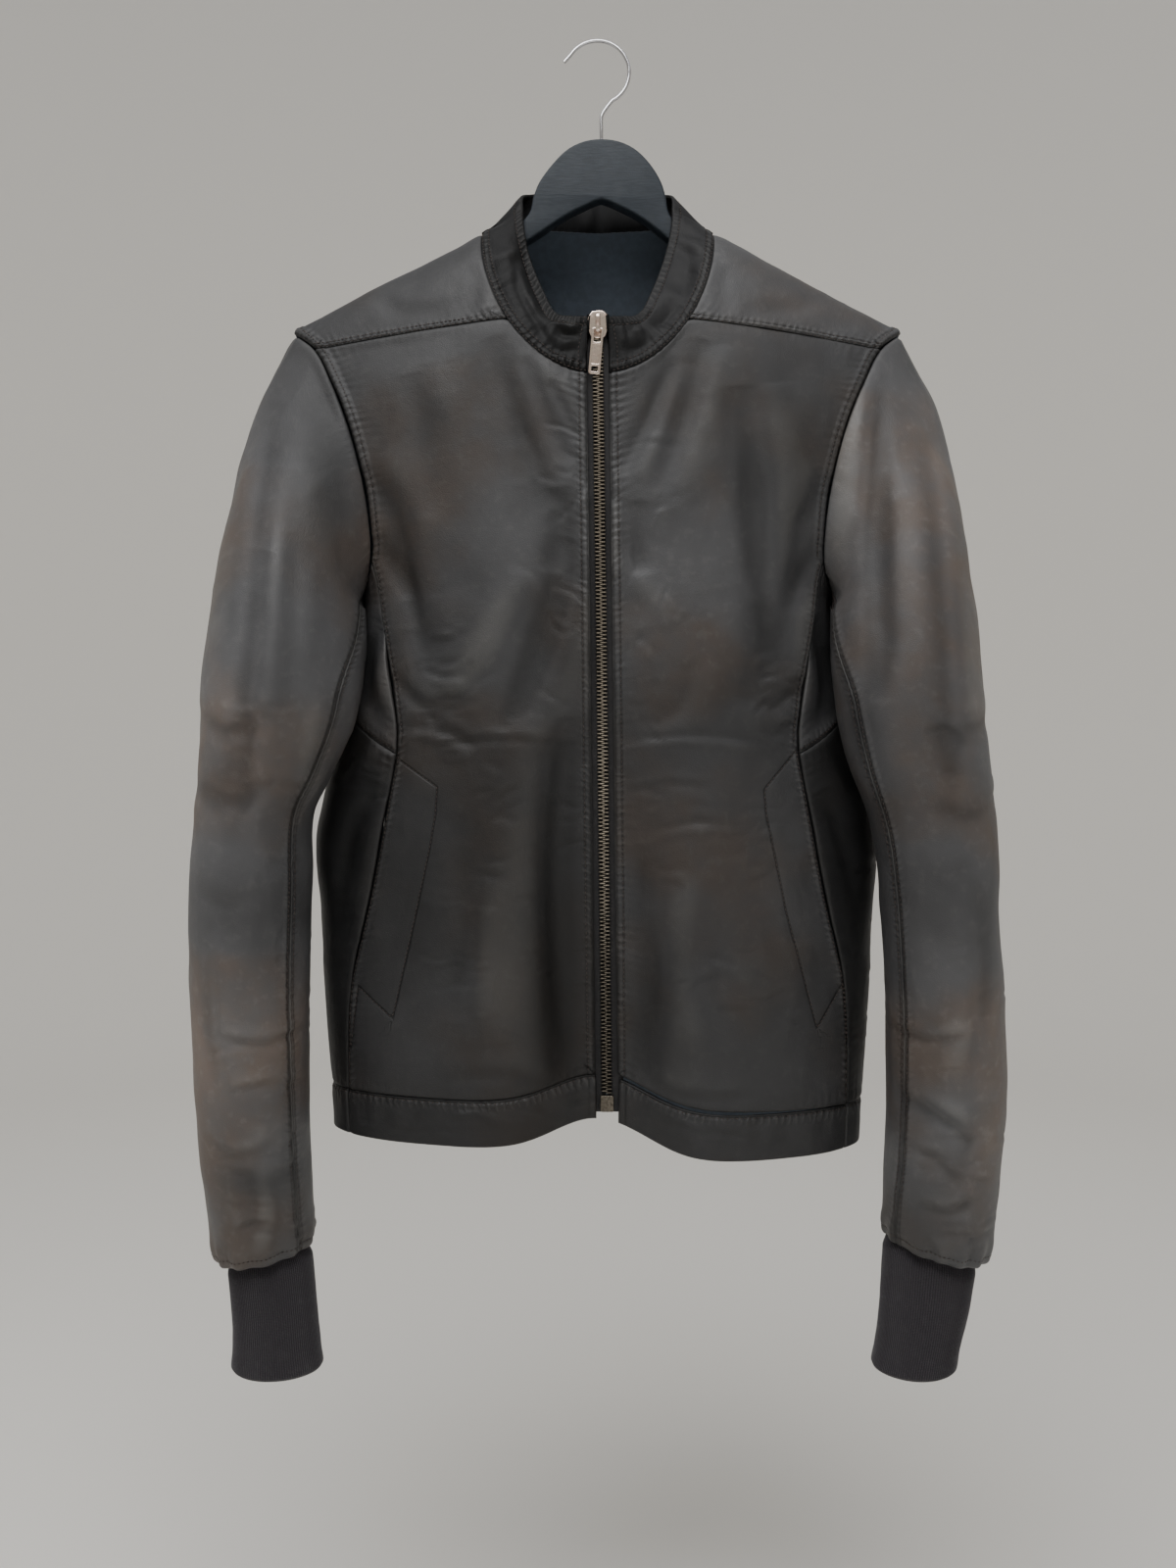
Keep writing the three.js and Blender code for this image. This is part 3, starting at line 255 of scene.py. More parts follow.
def leather(name, grey=(0.0335, 0.0335, 0.0350), brown=(0.034, 0.0275, 0.0240), pale_wear_and_highlight=(0.078, 0.076, 0.073),
            shine=0.3):
    """Washed lambskin: fine grain, crackle where it bends, brown patches, paler crests that are partly wear
    and partly painted highlight, and painted shade in seams, fold hollows and stitch dents.
    """
    m = Material(name)
    at = m.place()
    seam, along, crest, line, route, warm, tone = (m.value(key) for key in POINT_VALUES)
    route = m.math("ABSOLUTE", route)
    cloud = m.total(m.noise(at, 90, 3), m.product(warm, 0.22))
    patch = m.noise(at, 34, 4, 0.6)
    fine = m.noise(at, 6, 3)
    is_brown = m.product(m.ramp(cloud, 0.46, 0.68), m.ramp(patch, 0.28, 0.62, 0.35, 1.0))
    colour = m.mix(is_brown, grey, brown)
    # paler on the crests of the relief, partly wear and partly painted highlight; paler in fine random spots
    # of wear
    wear_and_highlight = m.total(m.ramp(crest, 0.5, 2.8, 0, 0.42), m.ramp(fine, 0.52, 0.75, 0, 0.14))
    on_edge = m.product(m.ramp(seam, 0.3, 1.6, 0.45, 0.0), m.ramp(patch, 0.4, 0.6))
    colour = m.mix(m.math("ADD", wear_and_highlight, on_edge, clamp=True), colour, pale_wear_and_highlight)
    # painted shade: darker in the seam grooves, in fold hollows, along the stitch lines and along the pocket
    # stitch route; the patch factor is uneven dye, and the last factor carries the painted light and shade of
    # each panel
    colour = m.shaded(colour, m.product(
        m.ramp(seam, 0.0, 0.8, 0.5, 1.0), m.ramp(crest, -2.4, -0.3, 0.62, 1.0),
        m.ramp(line, 0.1, 1.0, 1.0, 0.35), m.ramp(route, 0.25, 1.1, 0.4, 1.0),
        m.ramp(patch, 0.25, 0.75, 0.86, 1.1), tone))

    warped = m.node("ShaderNodeVectorMath", {0: at, 1: m.node("ShaderNodeTexNoise", {
        "Vector": at, "Scale": 0.12, "Detail": 2}, output="Color")}, operation="ADD")
    grain = m.product(m.ramp(m.cells(at, 1.15), 0.0, 0.22), 0.045)
    pores = m.product(m.noise(at, 0.9, 2), 0.05)
    lines = m.product(m.ramp(m.cells(warped, 7.5), 0.0, 0.055), 0.035, m.ramp(m.noise(at, 45, 2), 0.42, 0.62))
    ripple = m.math("SINE", m.total(m.product(along, 2 * math.pi / 4.8),
                                    m.total(m.product(fine, 7), m.product(seam, 0.35))))
    on_strip = m.product(m.ramp(seam, 0.6, 1.8), m.ramp(seam, 4.5, 9.0, 1.0, 0.0))
    # a border that runs under its neighbour counts its length below zero and hardly shows its puckers
    puckers = m.product(ripple, m.product(on_strip, m.ramp(patch, 0.3, 0.6, 0.4, 1.0)),
                        m.ramp(along, -1.5, 0.0, 0.25, 1.1))
    # the tops of the puckers get a painted highlight
    colour = m.mix(m.ramp(puckers, 0.2, 1.0, 0.0, 0.2), colour, pale_wear_and_highlight)
    height = m.total(grain, pores, lines, m.product(puckers, 0.13), m.product(fine, 0.18),
                     m.ramp(route, 0.0, 1.4, -0.3, 0.0))
    roughness = m.total(m.ramp(patch, 0.3, 0.7, 0.50, 0.60), m.ramp(crest, 0.2, 1.5, 0.0, -0.07))
    return m.finish(colour, roughness, height, Specular_IOR_Level=shine)


def plain_cloth(name, colour, pitch, roughness, depth=0.06, **settings):
    """A close plain weave with faint slubs."""
    m = Material(name)
    at = m.place()
    across, _, down = m.axes(at)
    weave = m.product(m.wave(across, pitch), m.wave(down, pitch), depth)
    slub = m.noise(at, 5, 3)
    tint = m.mix(m.ramp(slub, 0.35, 0.7), tuple(0.88 * c for c in colour), tuple(1.12 * c for c in colour))
    return m.finish(tint, roughness, m.total(weave, m.product(slub, 0.2)), **settings)


def knit():
    """Rib knit: the ribs are in the mesh, this adds the loops, a little fuzz, and painted shade between the
    ribs with a painted highlight on their tops.
    """
    m = Material("cuff_knit")
    at = m.place()
    rows = m.wave(m.total(m.axes(at)[2], m.product(m.noise(at, 2.2, 2), 1.2)), 0.95)
    height = m.total(m.product(rows, 0.07), m.product(m.noise(at, 0.5, 3, 0.7), 0.2))
    lint = m.ramp(m.noise(at, 7, 4), 0.55, 0.8, 0.0, 0.5)
    # painted shade between the ribs and painted highlight on their tops
    colour = m.shaded(m.mix(lint, (0.0215, 0.0185, 0.0235), (0.045, 0.041, 0.046)),
                      m.ramp(m.value("crest"), -0.35, 0.3, 0.45, 1.15))
    return m.finish(colour, 0.92, height, Sheen_Weight=0.25, Sheen_Roughness=0.5, Specular_IOR_Level=0.25)


def metal(name, colour, dull, low, high, grime=0.35, size=2.5, painted_shade_heights=None):
    """Metal with fine scratches and darker tarnish, and, where two heights are given, painted shade that
    darkens it from one height down to another.
    """
    m = Material(name)
    at = m.place()
    tarnish = m.ramp(m.noise(at, size, 4, 0.65), 0.42, 0.68)
    scratch = m.noise(m.place((0.25, 1, 1)), 0.35, 3)
    tint = m.mix(m.product(tarnish, grime), colour, dull)
    # painted shade: darker from one height down to another
    if painted_shade_heights is not None:
        tint = m.shaded(tint, m.ramp(m.axes(at)[2], *painted_shade_heights, 0.34, 1.0))
    roughness = m.ramp(m.total(tarnish, m.product(scratch, 0.5)), 0.1, 1.2, low, high)
    return m.finish(tint, roughness, m.product(scratch, 0.012), Metallic=1.0)


def painted_wood():
    """Dark blue-grey stain on wood, with the grain just showing and paler rubbed patches."""
    m = Material("hanger_stain")
    at = m.place()
    grain = m.noise(m.place((0.16, 1, 1.6)), 1.6, 5, 0.6)
    blotch = m.noise(at, 22, 3)
    colour = m.mix(m.ramp(grain, 0.35, 0.7), (0.014, 0.0185, 0.024), (0.022, 0.028, 0.036))
    colour = m.mix(m.ramp(blotch, 0.5, 0.8, 0.0, 0.4), colour, (0.050, 0.056, 0.062))
    height = m.total(m.product(grain, 0.09), m.product(m.noise(at, 0.7, 2), 0.03))
    return m.finish(colour, m.ramp(blotch, 0.3, 0.7, 0.42, 0.55), height, Specular_IOR_Level=0.22)


# ---------------------------------------------------------------- curves, noise and folds
def through(rows, parameter):
    """Smooth curve through [parameter, ...values] rows, at many parameters at once."""
    rows = np.asarray(rows, float)
    knots, values = rows[:, 0], rows[:, 1:]
    t = np.clip(parameter, knots[0], knots[-1])
    slope = np.empty_like(values)
    slope[0] = (values[1] - values[0]) / (knots[1] - knots[0])
    slope[-1] = (values[-1] - values[-2]) / (knots[-1] - knots[-2])
    slope[1:-1] = (values[2:] - values[:-2]) / (knots[2:] - knots[:-2])[:, None]
    i = np.clip(np.searchsorted(knots, t) - 1, 0, len(knots) - 2)
    width = (knots[i + 1] - knots[i])[..., None]
    s = (t - knots[i])[..., None] / width
    return ((2 * s**3 - 3 * s**2 + 1) * values[i] + (s**3 - 2 * s**2 + s) * width * slope[i]
            + (3 * s**2 - 2 * s**3) * values[i + 1] + (s**3 - s**2) * width * slope[i + 1])


def value_at(rows, parameter):
    return through(rows, parameter)[..., 0]


def mix(a, b, t):
    return a + (b - a) * t


def smooth_step(low, high, value):
    t = np.clip((value - low) / (high - low), 0, 1)
    return t * t * (3 - 2 * t)


def bell(distance, width):
    return np.exp(-(distance / width) ** 2)


def noise(points, size, seed=0):
    """Smooth value noise from -1 to 1 with features of the given size."""
    q = points / size + 40.37 + 17.13 * seed
    cell = np.floor(q).astype(np.int64)
    f = q - cell
    f = f**3 * (f * (6 * f - 15) + 10)
    total = 0
    for corner in np.ndindex(2, 2, 2):
        k = cell + corner
        h = (k[..., 0] * 73856093) ^ (k[..., 1] * 19349663) ^ (k[..., 2] * 83492791)
        h = ((h ^ (h >> 13)) * 1274126177) & 0x7FFFFFFF
        weight = np.prod(np.where(np.array(corner) == 1, f, 1 - f), axis=-1)
        total = total + weight * (((h ^ (h >> 15)) & 0xFFFF) / 65535)
    return 2 * total - 1


def run_of(points):
    """Distance run along a line of points."""
    return np.concatenate([[0], np.cumsum(np.linalg.norm(np.diff(points, axis=0), axis=1))])


def smooth_path(points, per_span=8):
    points = np.asarray(points, float)
    run = run_of(points)
    t = np.linspace(0, run[-1], per_span * (len(points) - 1) + 1)
    return through(np.column_stack([run, points]), t)


def fold(place, path, depth, width, ridge=0.5):
    """Height of one fold: a soft trough along path with a ridge beside it (on the left of the path, or on
    its right if ridge is negative). place is (..., 2), sideways and drop."""
    line = smooth_path(path)
    height = np.zeros(place.shape[:-1])
    reach = 4.5 * width
    near = np.all((place > line.min(0) - reach) & (place < line.max(0) + reach), axis=-1)
    if not near.any():
        return height
    p = place[near]
    a, b = line[:-1], line[1:]
    edge = b - a
    rel = p[:, None, :] - a
    t = np.clip((rel * edge).sum(-1) / (edge * edge).sum(-1), 0, 1)
    gap = rel - t[..., None] * edge
    distance = np.hypot(gap[..., 0], gap[..., 1])
    best = distance.argmin(1)
    rows = np.arange(len(p))
    side = np.sign(edge[best, 0] * gap[rows, best, 1] - edge[best, 1] * gap[rows, best, 0])
    d = distance[rows, best]
    share = (best + t[rows, best]) / len(edge)
    taper = np.sqrt(np.clip(4 * share * (1 - share), 0, 1))
    beside = bell(d * side * np.sign(ridge) + 1.9 * width, 1.4 * width)
    height[near] = depth * taper * (-bell(d, width) + abs(ridge) * beside)
    return height


# ---------------------------------------------------------------- the torso's surface
def zip_x(drop):
    return ZIP_DRIFT * np.maximum(0, drop - 240)


def shoulder_drop(x):
    beyond = np.abs(x) - NECK_HALF
    return NECK_TOP + SHOULDER_FALL * np.where(beyond >= 0, beyond, beyond * (1 + beyond / 260))


def torso(x, drop, face):
    """Point of the torso at a sideways place and drop; face is -1 for the front and 1 for the back."""
    x, drop, face = np.broadcast_arrays(np.asarray(x, float), drop, face)
    q = np.clip(np.abs(x) / value_at(HALF_WIDTH, drop), 0, 1)
    down = np.clip((drop - shoulder_drop(x)) / SHOULDER_ROUND, 0, 1)
    rounded = np.sqrt(1 - (1 - down) ** 2)
    plan = (1 - q * q) ** (SIDE_FULLNESS / 2)
    depth = np.where(face < 0, value_at(FRONT_DEPTH, drop), value_at(BACK_DEPTH, drop)) * plan * rounded
    valley = np.where(face < 0, value_at(ZIP_VALLEY, drop) * bell(x - zip_x(drop), VALLEY_WIDTH) * rounded, 0)
    return np.stack([x, face * depth + valley, -drop], -1)


def over_shoulder(x, s):
    """s runs over the shoulder line: 0 on it, positive down the back, negative down the front."""
    run = np.abs(s)
    down = np.where(run < QUARTER, SHOULDER_ROUND * (1 - np.cos(np.minimum(run, QUARTER) / SHOULDER_ROUND)),
                    SHOULDER_ROUND + run - QUARTER)
    return torso(x, shoulder_drop(x) + down, np.where(s < 0, -1, 1))


def over_shoulder_place(x, drop, face):
    down = np.maximum(0, drop - shoulder_drop(x))
    run = np.where(down < SHOULDER_ROUND,
                   SHOULDER_ROUND * np.arccos(np.clip(1 - down / SHOULDER_ROUND, -1, 1)),
                   QUARTER + down - SHOULDER_ROUND)
    return face * run


def around_side(angle, drop, side):
    """Torso by angle round one side: 0 at the front, 90 at the edge, 180 at the back."""
    x = side * value_at(HALF_WIDTH, drop) * np.sin(np.radians(angle))
    p = torso(x, drop, np.where(angle < 90, -1, 1))
    p[np.abs(angle - 90) < 1e-9, 1] = 0
    return p


def side_angle(x, drop, face):
    angle = np.degrees(np.arcsin(np.clip(np.abs(x) / value_at(HALF_WIDTH, drop), 0, 1)))
    return np.where(face < 0, angle, 180 - angle)


def hem_edge(x, face):
    return HEM_DROP + 5 * np.tanh(x / 50) - np.where(face < 0, 16 * bell(x, 38), 0)


def hem_seam(x, face):
    return hem_edge(x, face) - HEM_HEIGHT


def neck_x(angle):
    return NECK_HALF * np.sin(np.radians(angle))


def neck_drop(angle):
    c = np.cos(np.radians(angle))
    return NECK_TOP + np.where(c > 0, NECK_FRONT_DEPTH, NECK_BACK_RISE) * c


def yoke_drop(x):
    return YOKE_DROP + YOKE_FALL * (np.abs(x) - 57)


def armhole(f, face):
    """(half x, drop) along the armhole, from the shoulder tip 0 to the underarm 1."""
    face = np.broadcast_to(face, np.shape(f))
    return np.where(face[..., None] < 0, through(ARMHOLE_FRONT, f), through(ARMHOLE_BACK, f))


# ---------------------------------------------------------------- grids
def spread(count, crowding=0.55, start=0.0, end=1.0):
    """Shares from start to end that crowd together towards both ends."""
    u = np.linspace(0, 1, count)
    return start + (end - start) * (u - crowding * np.sin(2 * math.pi * u) / (2 * math.pi))


def along_line(points, shares):
    """Points at shares of the length of a dense line."""
    points = np.asarray(points, float)
    run = run_of(points)
    return np.stack([np.interp(shares * run[-1], run, points[:, k]) for k in range(points.shape[1])], -1)


def coons(top, bottom, start, end, u=None, v=None):
    """Grid between four border lines, sampled and blended at the shares u and v if these are given."""
    if u is None:
        u, v = np.linspace(0, 1, len(top)), np.linspace(0, 1, len(start))
    else:
        top, bottom, start, end = (along_line(line, shares) for line, shares in (
            (top, u), (bottom, u), (start, v), (end, v)))
    u, v = u[None, :, None], v[:, None, None]
    return (mix(top[None], bottom[None], v) + mix(start[:, None], end[:, None], u)
            - mix(mix(top[0], top[-1], u), mix(bottom[0], bottom[-1], u), v))


def round_both(half):
    """Angles up the left side and back down the right one, and the side of each."""
    return np.concatenate([half, half[-2::-1]]), np.repeat([LEFT, RIGHT], [len(half), len(half) - 1])


def lengths(points, axis):
    """Distance run along a grid from its first line."""
    step = np.linalg.norm(np.diff(points, axis=axis), axis=-1)
    pad = [(0, 0), (0, 0)]
    pad[axis] = (1, 0)
    return np.cumsum(np.pad(step, pad), axis=axis)


def grid_normals(p, outward):
    """Unit normals of a grid, on the side of the vectors outward."""
    n = np.cross(np.gradient(p, axis=1), np.gradient(p, axis=0))
    n /= np.maximum(np.linalg.norm(n, axis=-1, keepdims=True), 1e-9)
    return n * np.where((n * outward).sum() < 0, -1, 1)


class Patch:
    """A grid of points on a smooth surface, with the distance from each border and along it."""

    def __init__(self, points, axis_point):
        self.p = points
        self.n = grid_normals(points, points - axis_point)
        across, down = lengths(points, 1), lengths(points, 0)
        self.off = {"left": across, "right": across[:, -1:] - across, "top": down,
                    "bottom": down[-1:] - down}
        self.run = {"left": down[:, :1], "right": down[:, -1:], "top": across[:1], "bottom": across[-1:]}
        for name, value in (("height", 0), ("crest", 0), ("roll", 0), ("line", 0), ("warm", 0), ("along", 0),
                            ("seam", FAR), ("route", FAR), ("tone", 1), ("free", 1)):
            setattr(self, name, np.full(points.shape[:2], float(value)))
        self.place = points[..., [0, 2]] * (1, -1)

    def near(self, edge, start=0.0, stop=1e9):
        """Distance from an edge and along it, and a weight that is 1 between two distances along it."""
        d, fade = self.off[edge], 6
        s = np.broadcast_to(self.run[edge], d.shape)
        length = s.max()
        stop = min(stop, length)
        weight = np.ones(d.shape)
        if start > 0:
            weight = weight * smooth_step(start - fade, start + fade, s)
        if stop < length:
            weight = weight * (1 - smooth_step(stop - fade, stop + fade, s))
        return d, s, weight

    def mark(self, d, s, weight):
        closer = (d < self.seam) & (weight > 0.5)
        self.seam = np.where(closer, d, self.seam)
        self.along = np.where(closer, s, self.along)

    def tuck(self, edge, start=0.0, stop=1e9, gather=0.5, reach=11, depth=0.7):
        """This border goes under its neighbour: it sinks at the seam and gathers a little."""
        d, s, weight = self.near(edge, start, stop)
        self.mark(d, -s, weight)
        wave = np.sin(s * 2 * math.pi / 6.3 + 2.6 * noise(self.p, 23, 3)) * (0.6 + 0.5 * noise(self.p, 9, 4))
        self.height += weight * (-depth * bell(d, 1.2) + gather * wave * np.exp(-d / reach)
                                 * smooth_step(0.2, 2.5, d))

    def lap(self, edge, start=0.0, stop=1e9, width=6.5, lift=1.2, depth=0.7, gather=0.36):
        """This border lies on top, turned and stitched down: a low strip with a dented stitch line."""
        d, s, weight = self.near(edge, start, stop)
        self.mark(d, s, weight)
        wave = np.sin(s * 2 * math.pi / 5.4 + 3 * noise(self.p, 19, 5)) * (0.6 + 0.6 * noise(self.p, 8, 6))
        strip = 1 - smooth_step(width - 0.6, width + 1.6, d)
        rows = bell(d - width + 0.9, 0.8) + bell(d - 1.1, 0.7)
        # the stitch lines are darkened with painted shade and the middle of the strip gets a painted
        # highlight
        self.line += weight * rows
        self.crest += weight * 0.9 * bell(d - 0.5 * width, 0.27 * width)
        self.height += weight * (lift * strip - depth * bell(d, 0.9) - 0.6 * rows
                                 + gather * wave * np.exp(-np.maximum(0, d - width) / 7))

    def stitch_dent(self, edge, at, depth=0.3):
        dent = bell(self.off[edge] - at, 0.8)
        # the dent is darkened with painted shade
        self.line += dent
        self.height -= depth * dent

    def edge_turn(self, edge, thickness, radius=1.6):
        """A free border is rounded over."""
        d = np.minimum(self.off[edge] / radius, 1)
        self.roll = np.maximum(self.roll, 0.47 * thickness * (1 - np.sqrt(1 - (1 - d) ** 2)))

    def settle(self, *edges, reach=12):
        """Drape and folds die out towards these borders, so that they stay against their neighbours."""
        for edge in edges:
            self.free *= 0.08 + 0.92 * smooth_step(0, reach, self.off[edge])

    def drape(self, amount=1.0):
        """Undulation and small crumples that run on from panel to panel."""
        p = self.p * (1, 1, 0.72)
        h = 1.9 * noise(p, 66, 1) + 0.95 * noise(p, 27, 2) + 0.2 * noise(p, 11, 3)
        crumple = 1 - np.abs(noise(p + 6 * noise(p, 30, 8)[..., None], 15, 9))
        h += 0.34 * crumple**3 * smooth_step(-0.3, 0.5, noise(p, 48, 10))
        calm = smooth_step(0, 9, self.seam)
        self.height += amount * h * (0.35 + 0.65 * calm) * self.free
        # the relief also goes to the colour: paler on rises, partly wear and partly painted highlight, with
        # painted shade in hollows
        self.crest += amount * 0.6 * h

    def folds(self, rows, face=None, amount=1.0):
        """rows are (path, depth, width, ridge) in sideways place and drop; face keeps them to one side."""
        facing = 1.0
        if face is not None:
            facing = smooth_step(-0.05, 0.3, self.n[..., 1] * face)
        for path, depth, width, ridge in rows:
            h = fold(self.place, path, min(2.1, 1.45 + 0.06 * width) * depth, width, ridge) * facing * amount
            self.height += h * self.free
            # the fold also goes to the colour: paler ridge, partly wear and partly painted highlight, and
            # painted shade in the trough
            self.crest += h

    def dye_light_and_shade(self, rows):
        """Uneven dye, and painted light and shade: sideways place, drop, half width, half height, factor
        (lighter or darker, mostly painted light and shade), and how much browner.
        """
        x, drop = self.place[..., 0], self.place[..., 1]
        for x0, drop0, width, height, factor, warm in rows:
            reach = np.exp(-((x - x0) / width) ** 2 - ((drop - drop0) / height) ** 2)
            self.tone *= 1 + (factor - 1) * reach
            self.warm += warm * reach

    def stitched_route(self, route):
        """A stitched line across the panel, kept as the signed distance from it."""
        route = np.array(route, float)
        for a, b in zip(route, route[1:]):
            run, here = b - a, self.place - a
            t = np.clip((here @ run) / (run @ run), 0, 1)
            d = np.linalg.norm(here - t[..., None] * run, axis=-1)
            sign = np.where(run[0] * here[..., 1] - run[1] * here[..., 0] < 0, -1, 1)
            self.route = np.where(d < np.abs(self.route), d * sign, self.route)
        # the leather colour is darkened along this line: painted shade in the dent
        self.height -= 0.35 * bell(self.route, 2.2)

    def small_creases(self, seed, count, region, face=None, slope=0.25, depth=0.36, length=30, steep=False):
        """Short worn-in creases scattered over a region ((x0, drop0), (x1, drop1))."""
        rng = np.random.default_rng(seed)
        (x0, d0), (x1, d1) = region
        x0, x1 = min(x0, x1), max(x0, x1)
        rows = []
        for _ in range(count):
            a = np.array([rng.uniform(x0, x1), rng.uniform(d0, d1)])
            angle = rng.normal(math.pi / 2 if steep else 0, slope)
            step = np.array([math.cos(angle), math.sin(angle)]) * length * rng.uniform(0.4, 1)
            bend = np.array([-step[1], step[0]]) * rng.uniform(-0.12, 0.12)
            rows.append(([a, a + step / 2 + bend, a + step], depth * rng.uniform(0.4, 1),
                         rng.uniform(1.2, 2.4), rng.choice([-0.6, 0.6])))
        self.folds(rows, face)

    def outer(self):
        return self.p + self.n * (self.height - self.roll)[..., None]

    def inner(self, thickness):
        height = np.minimum(self.height, 0.6 * self.height)
        return self.p + self.n * (height + self.roll - thickness)[..., None]


# ---------------------------------------------------------------- meshes
def build_mesh(name, verts, faces, materials, attributes=(), slots=None):
    """faces may name a corner twice: such a face loses the repeat, or goes when fewer than three are left."""
    faces = np.asarray(faces, np.int32)
    corner = faces != np.roll(faces, 1, axis=1)
    real = corner.sum(1) > 2
    totals = corner[real].sum(1).astype(np.int32)
    used, loops = np.unique(faces[real][corner[real]], return_inverse=True)
    mesh = bpy.data.meshes.new(name)
    mesh.vertices.add(len(used))
    mesh.vertices.foreach_set("co", (np.asarray(verts, float)[used] * MM).astype(np.float32).ravel())
    mesh.loops.add(len(loops))
    mesh.loops.foreach_set("vertex_index", loops.astype(np.int32).ravel())
    mesh.polygons.add(len(totals))
    mesh.polygons.foreach_set("loop_start", (np.cumsum(totals) - totals).astype(np.int32))
    mesh.polygons.foreach_set("loop_total", totals)
    for material in materials:
        mesh.materials.append(material)
    if slots is not None:
        mesh.polygons.foreach_set("material_index", slots[real].astype(np.int32))
    for key, values in dict(attributes).items():
        mesh.attributes.new(key, "FLOAT", "POINT").data.foreach_set("value", values[used].astype(np.float32))
    mesh.update(calc_edges=True)
    mesh.validate()
    mesh.shade_smooth()
    return add_object(name, mesh)


def weld(patches):
    """For patches whose borders meet: the vertex of each grid point, the faces, and the vertex that stands
    for each one on the inside, where one inner grid point in four is kept."""
    points = np.concatenate([patch.p.reshape(-1, 3) for patch in patches])
    keys = np.round(points * 50).astype(np.int64)
    _, first, index = np.unique(keys, axis=0, return_index=True, return_inverse=True)
    index = index.ravel()
    inside = np.arange(len(first))
    faces, offset = [], 0
    for patch in patches:
        rows, cols = patch.p.shape[:2]
        ids = index[offset:offset + rows * cols].reshape(rows, cols)
        quad = np.stack([ids[:-1, :-1], ids[:-1, 1:], ids[1:, 1:], ids[1:, :-1]], -1).reshape(-1, 4)
        j, i = rows // 2, cols // 2
        turn = np.cross(patch.p[j, i + 1] - patch.p[j, i], patch.p[j + 1, i] - patch.p[j, i])
        if (turn * patch.n[j, i]).sum() < 0:
            quad = quad[:, ::-1]
        faces.append(quad)
        kept_row, kept_col = (2 * (np.arange(n - 2) // 2) + 1 for n in (rows, cols))
        inside[ids[1:-1, 1:-1]] = ids[kept_row][:, kept_col]
        offset += rows * cols
    return index, np.concatenate(faces), inside


def shell(name, patches, thickness, material, lining=None):
    """A closed thin shell on welded patches: outside, inside and the rim round its borders."""
    index, faces, inside = weld(patches)
    count = len(inside)

    def gather(values):
        flat = np.concatenate([v.reshape(-1, *v.shape[2:]) for v in values])
        total = np.zeros((count, *flat.shape[1:]))
        np.add.at(total, index, flat)
        share = np.bincount(index, minlength=count).reshape(-1, *[1] * (flat.ndim - 1))
        return total / share

    edges = {}
    for face in faces.tolist():
        for a, b in zip(face, face[1:] + face[:1]):
            if a != b and edges.pop((b, a), None) is None:
                edges[a, b] = True
    border = np.array([*edges])
    rim = np.column_stack([border[:, ::-1], inside[border] + count])
    attributes = {key: np.tile(gather([getattr(patch, key) for patch in patches]), 2)
                  for key in POINT_VALUES}
    return build_mesh(name, np.concatenate([gather([patch.outer() for patch in patches]),
                                            gather([patch.inner(thickness) for patch in patches])]),
                      np.concatenate([faces, inside[faces[:, ::-1]] + count, rim]),
                      [material, lining or material], attributes,
                      np.repeat([0, 1, 0], [len(faces), len(faces), len(rim)]))


def stands_for(piece, body, node):
    """Says what a piece rides on and which CAD node it replaces."""
    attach(piece, body)
    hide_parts(node)


def dress(piece, node):
    """Says what a cloth piece stands for."""
    stands_for(piece, "jacket", node)


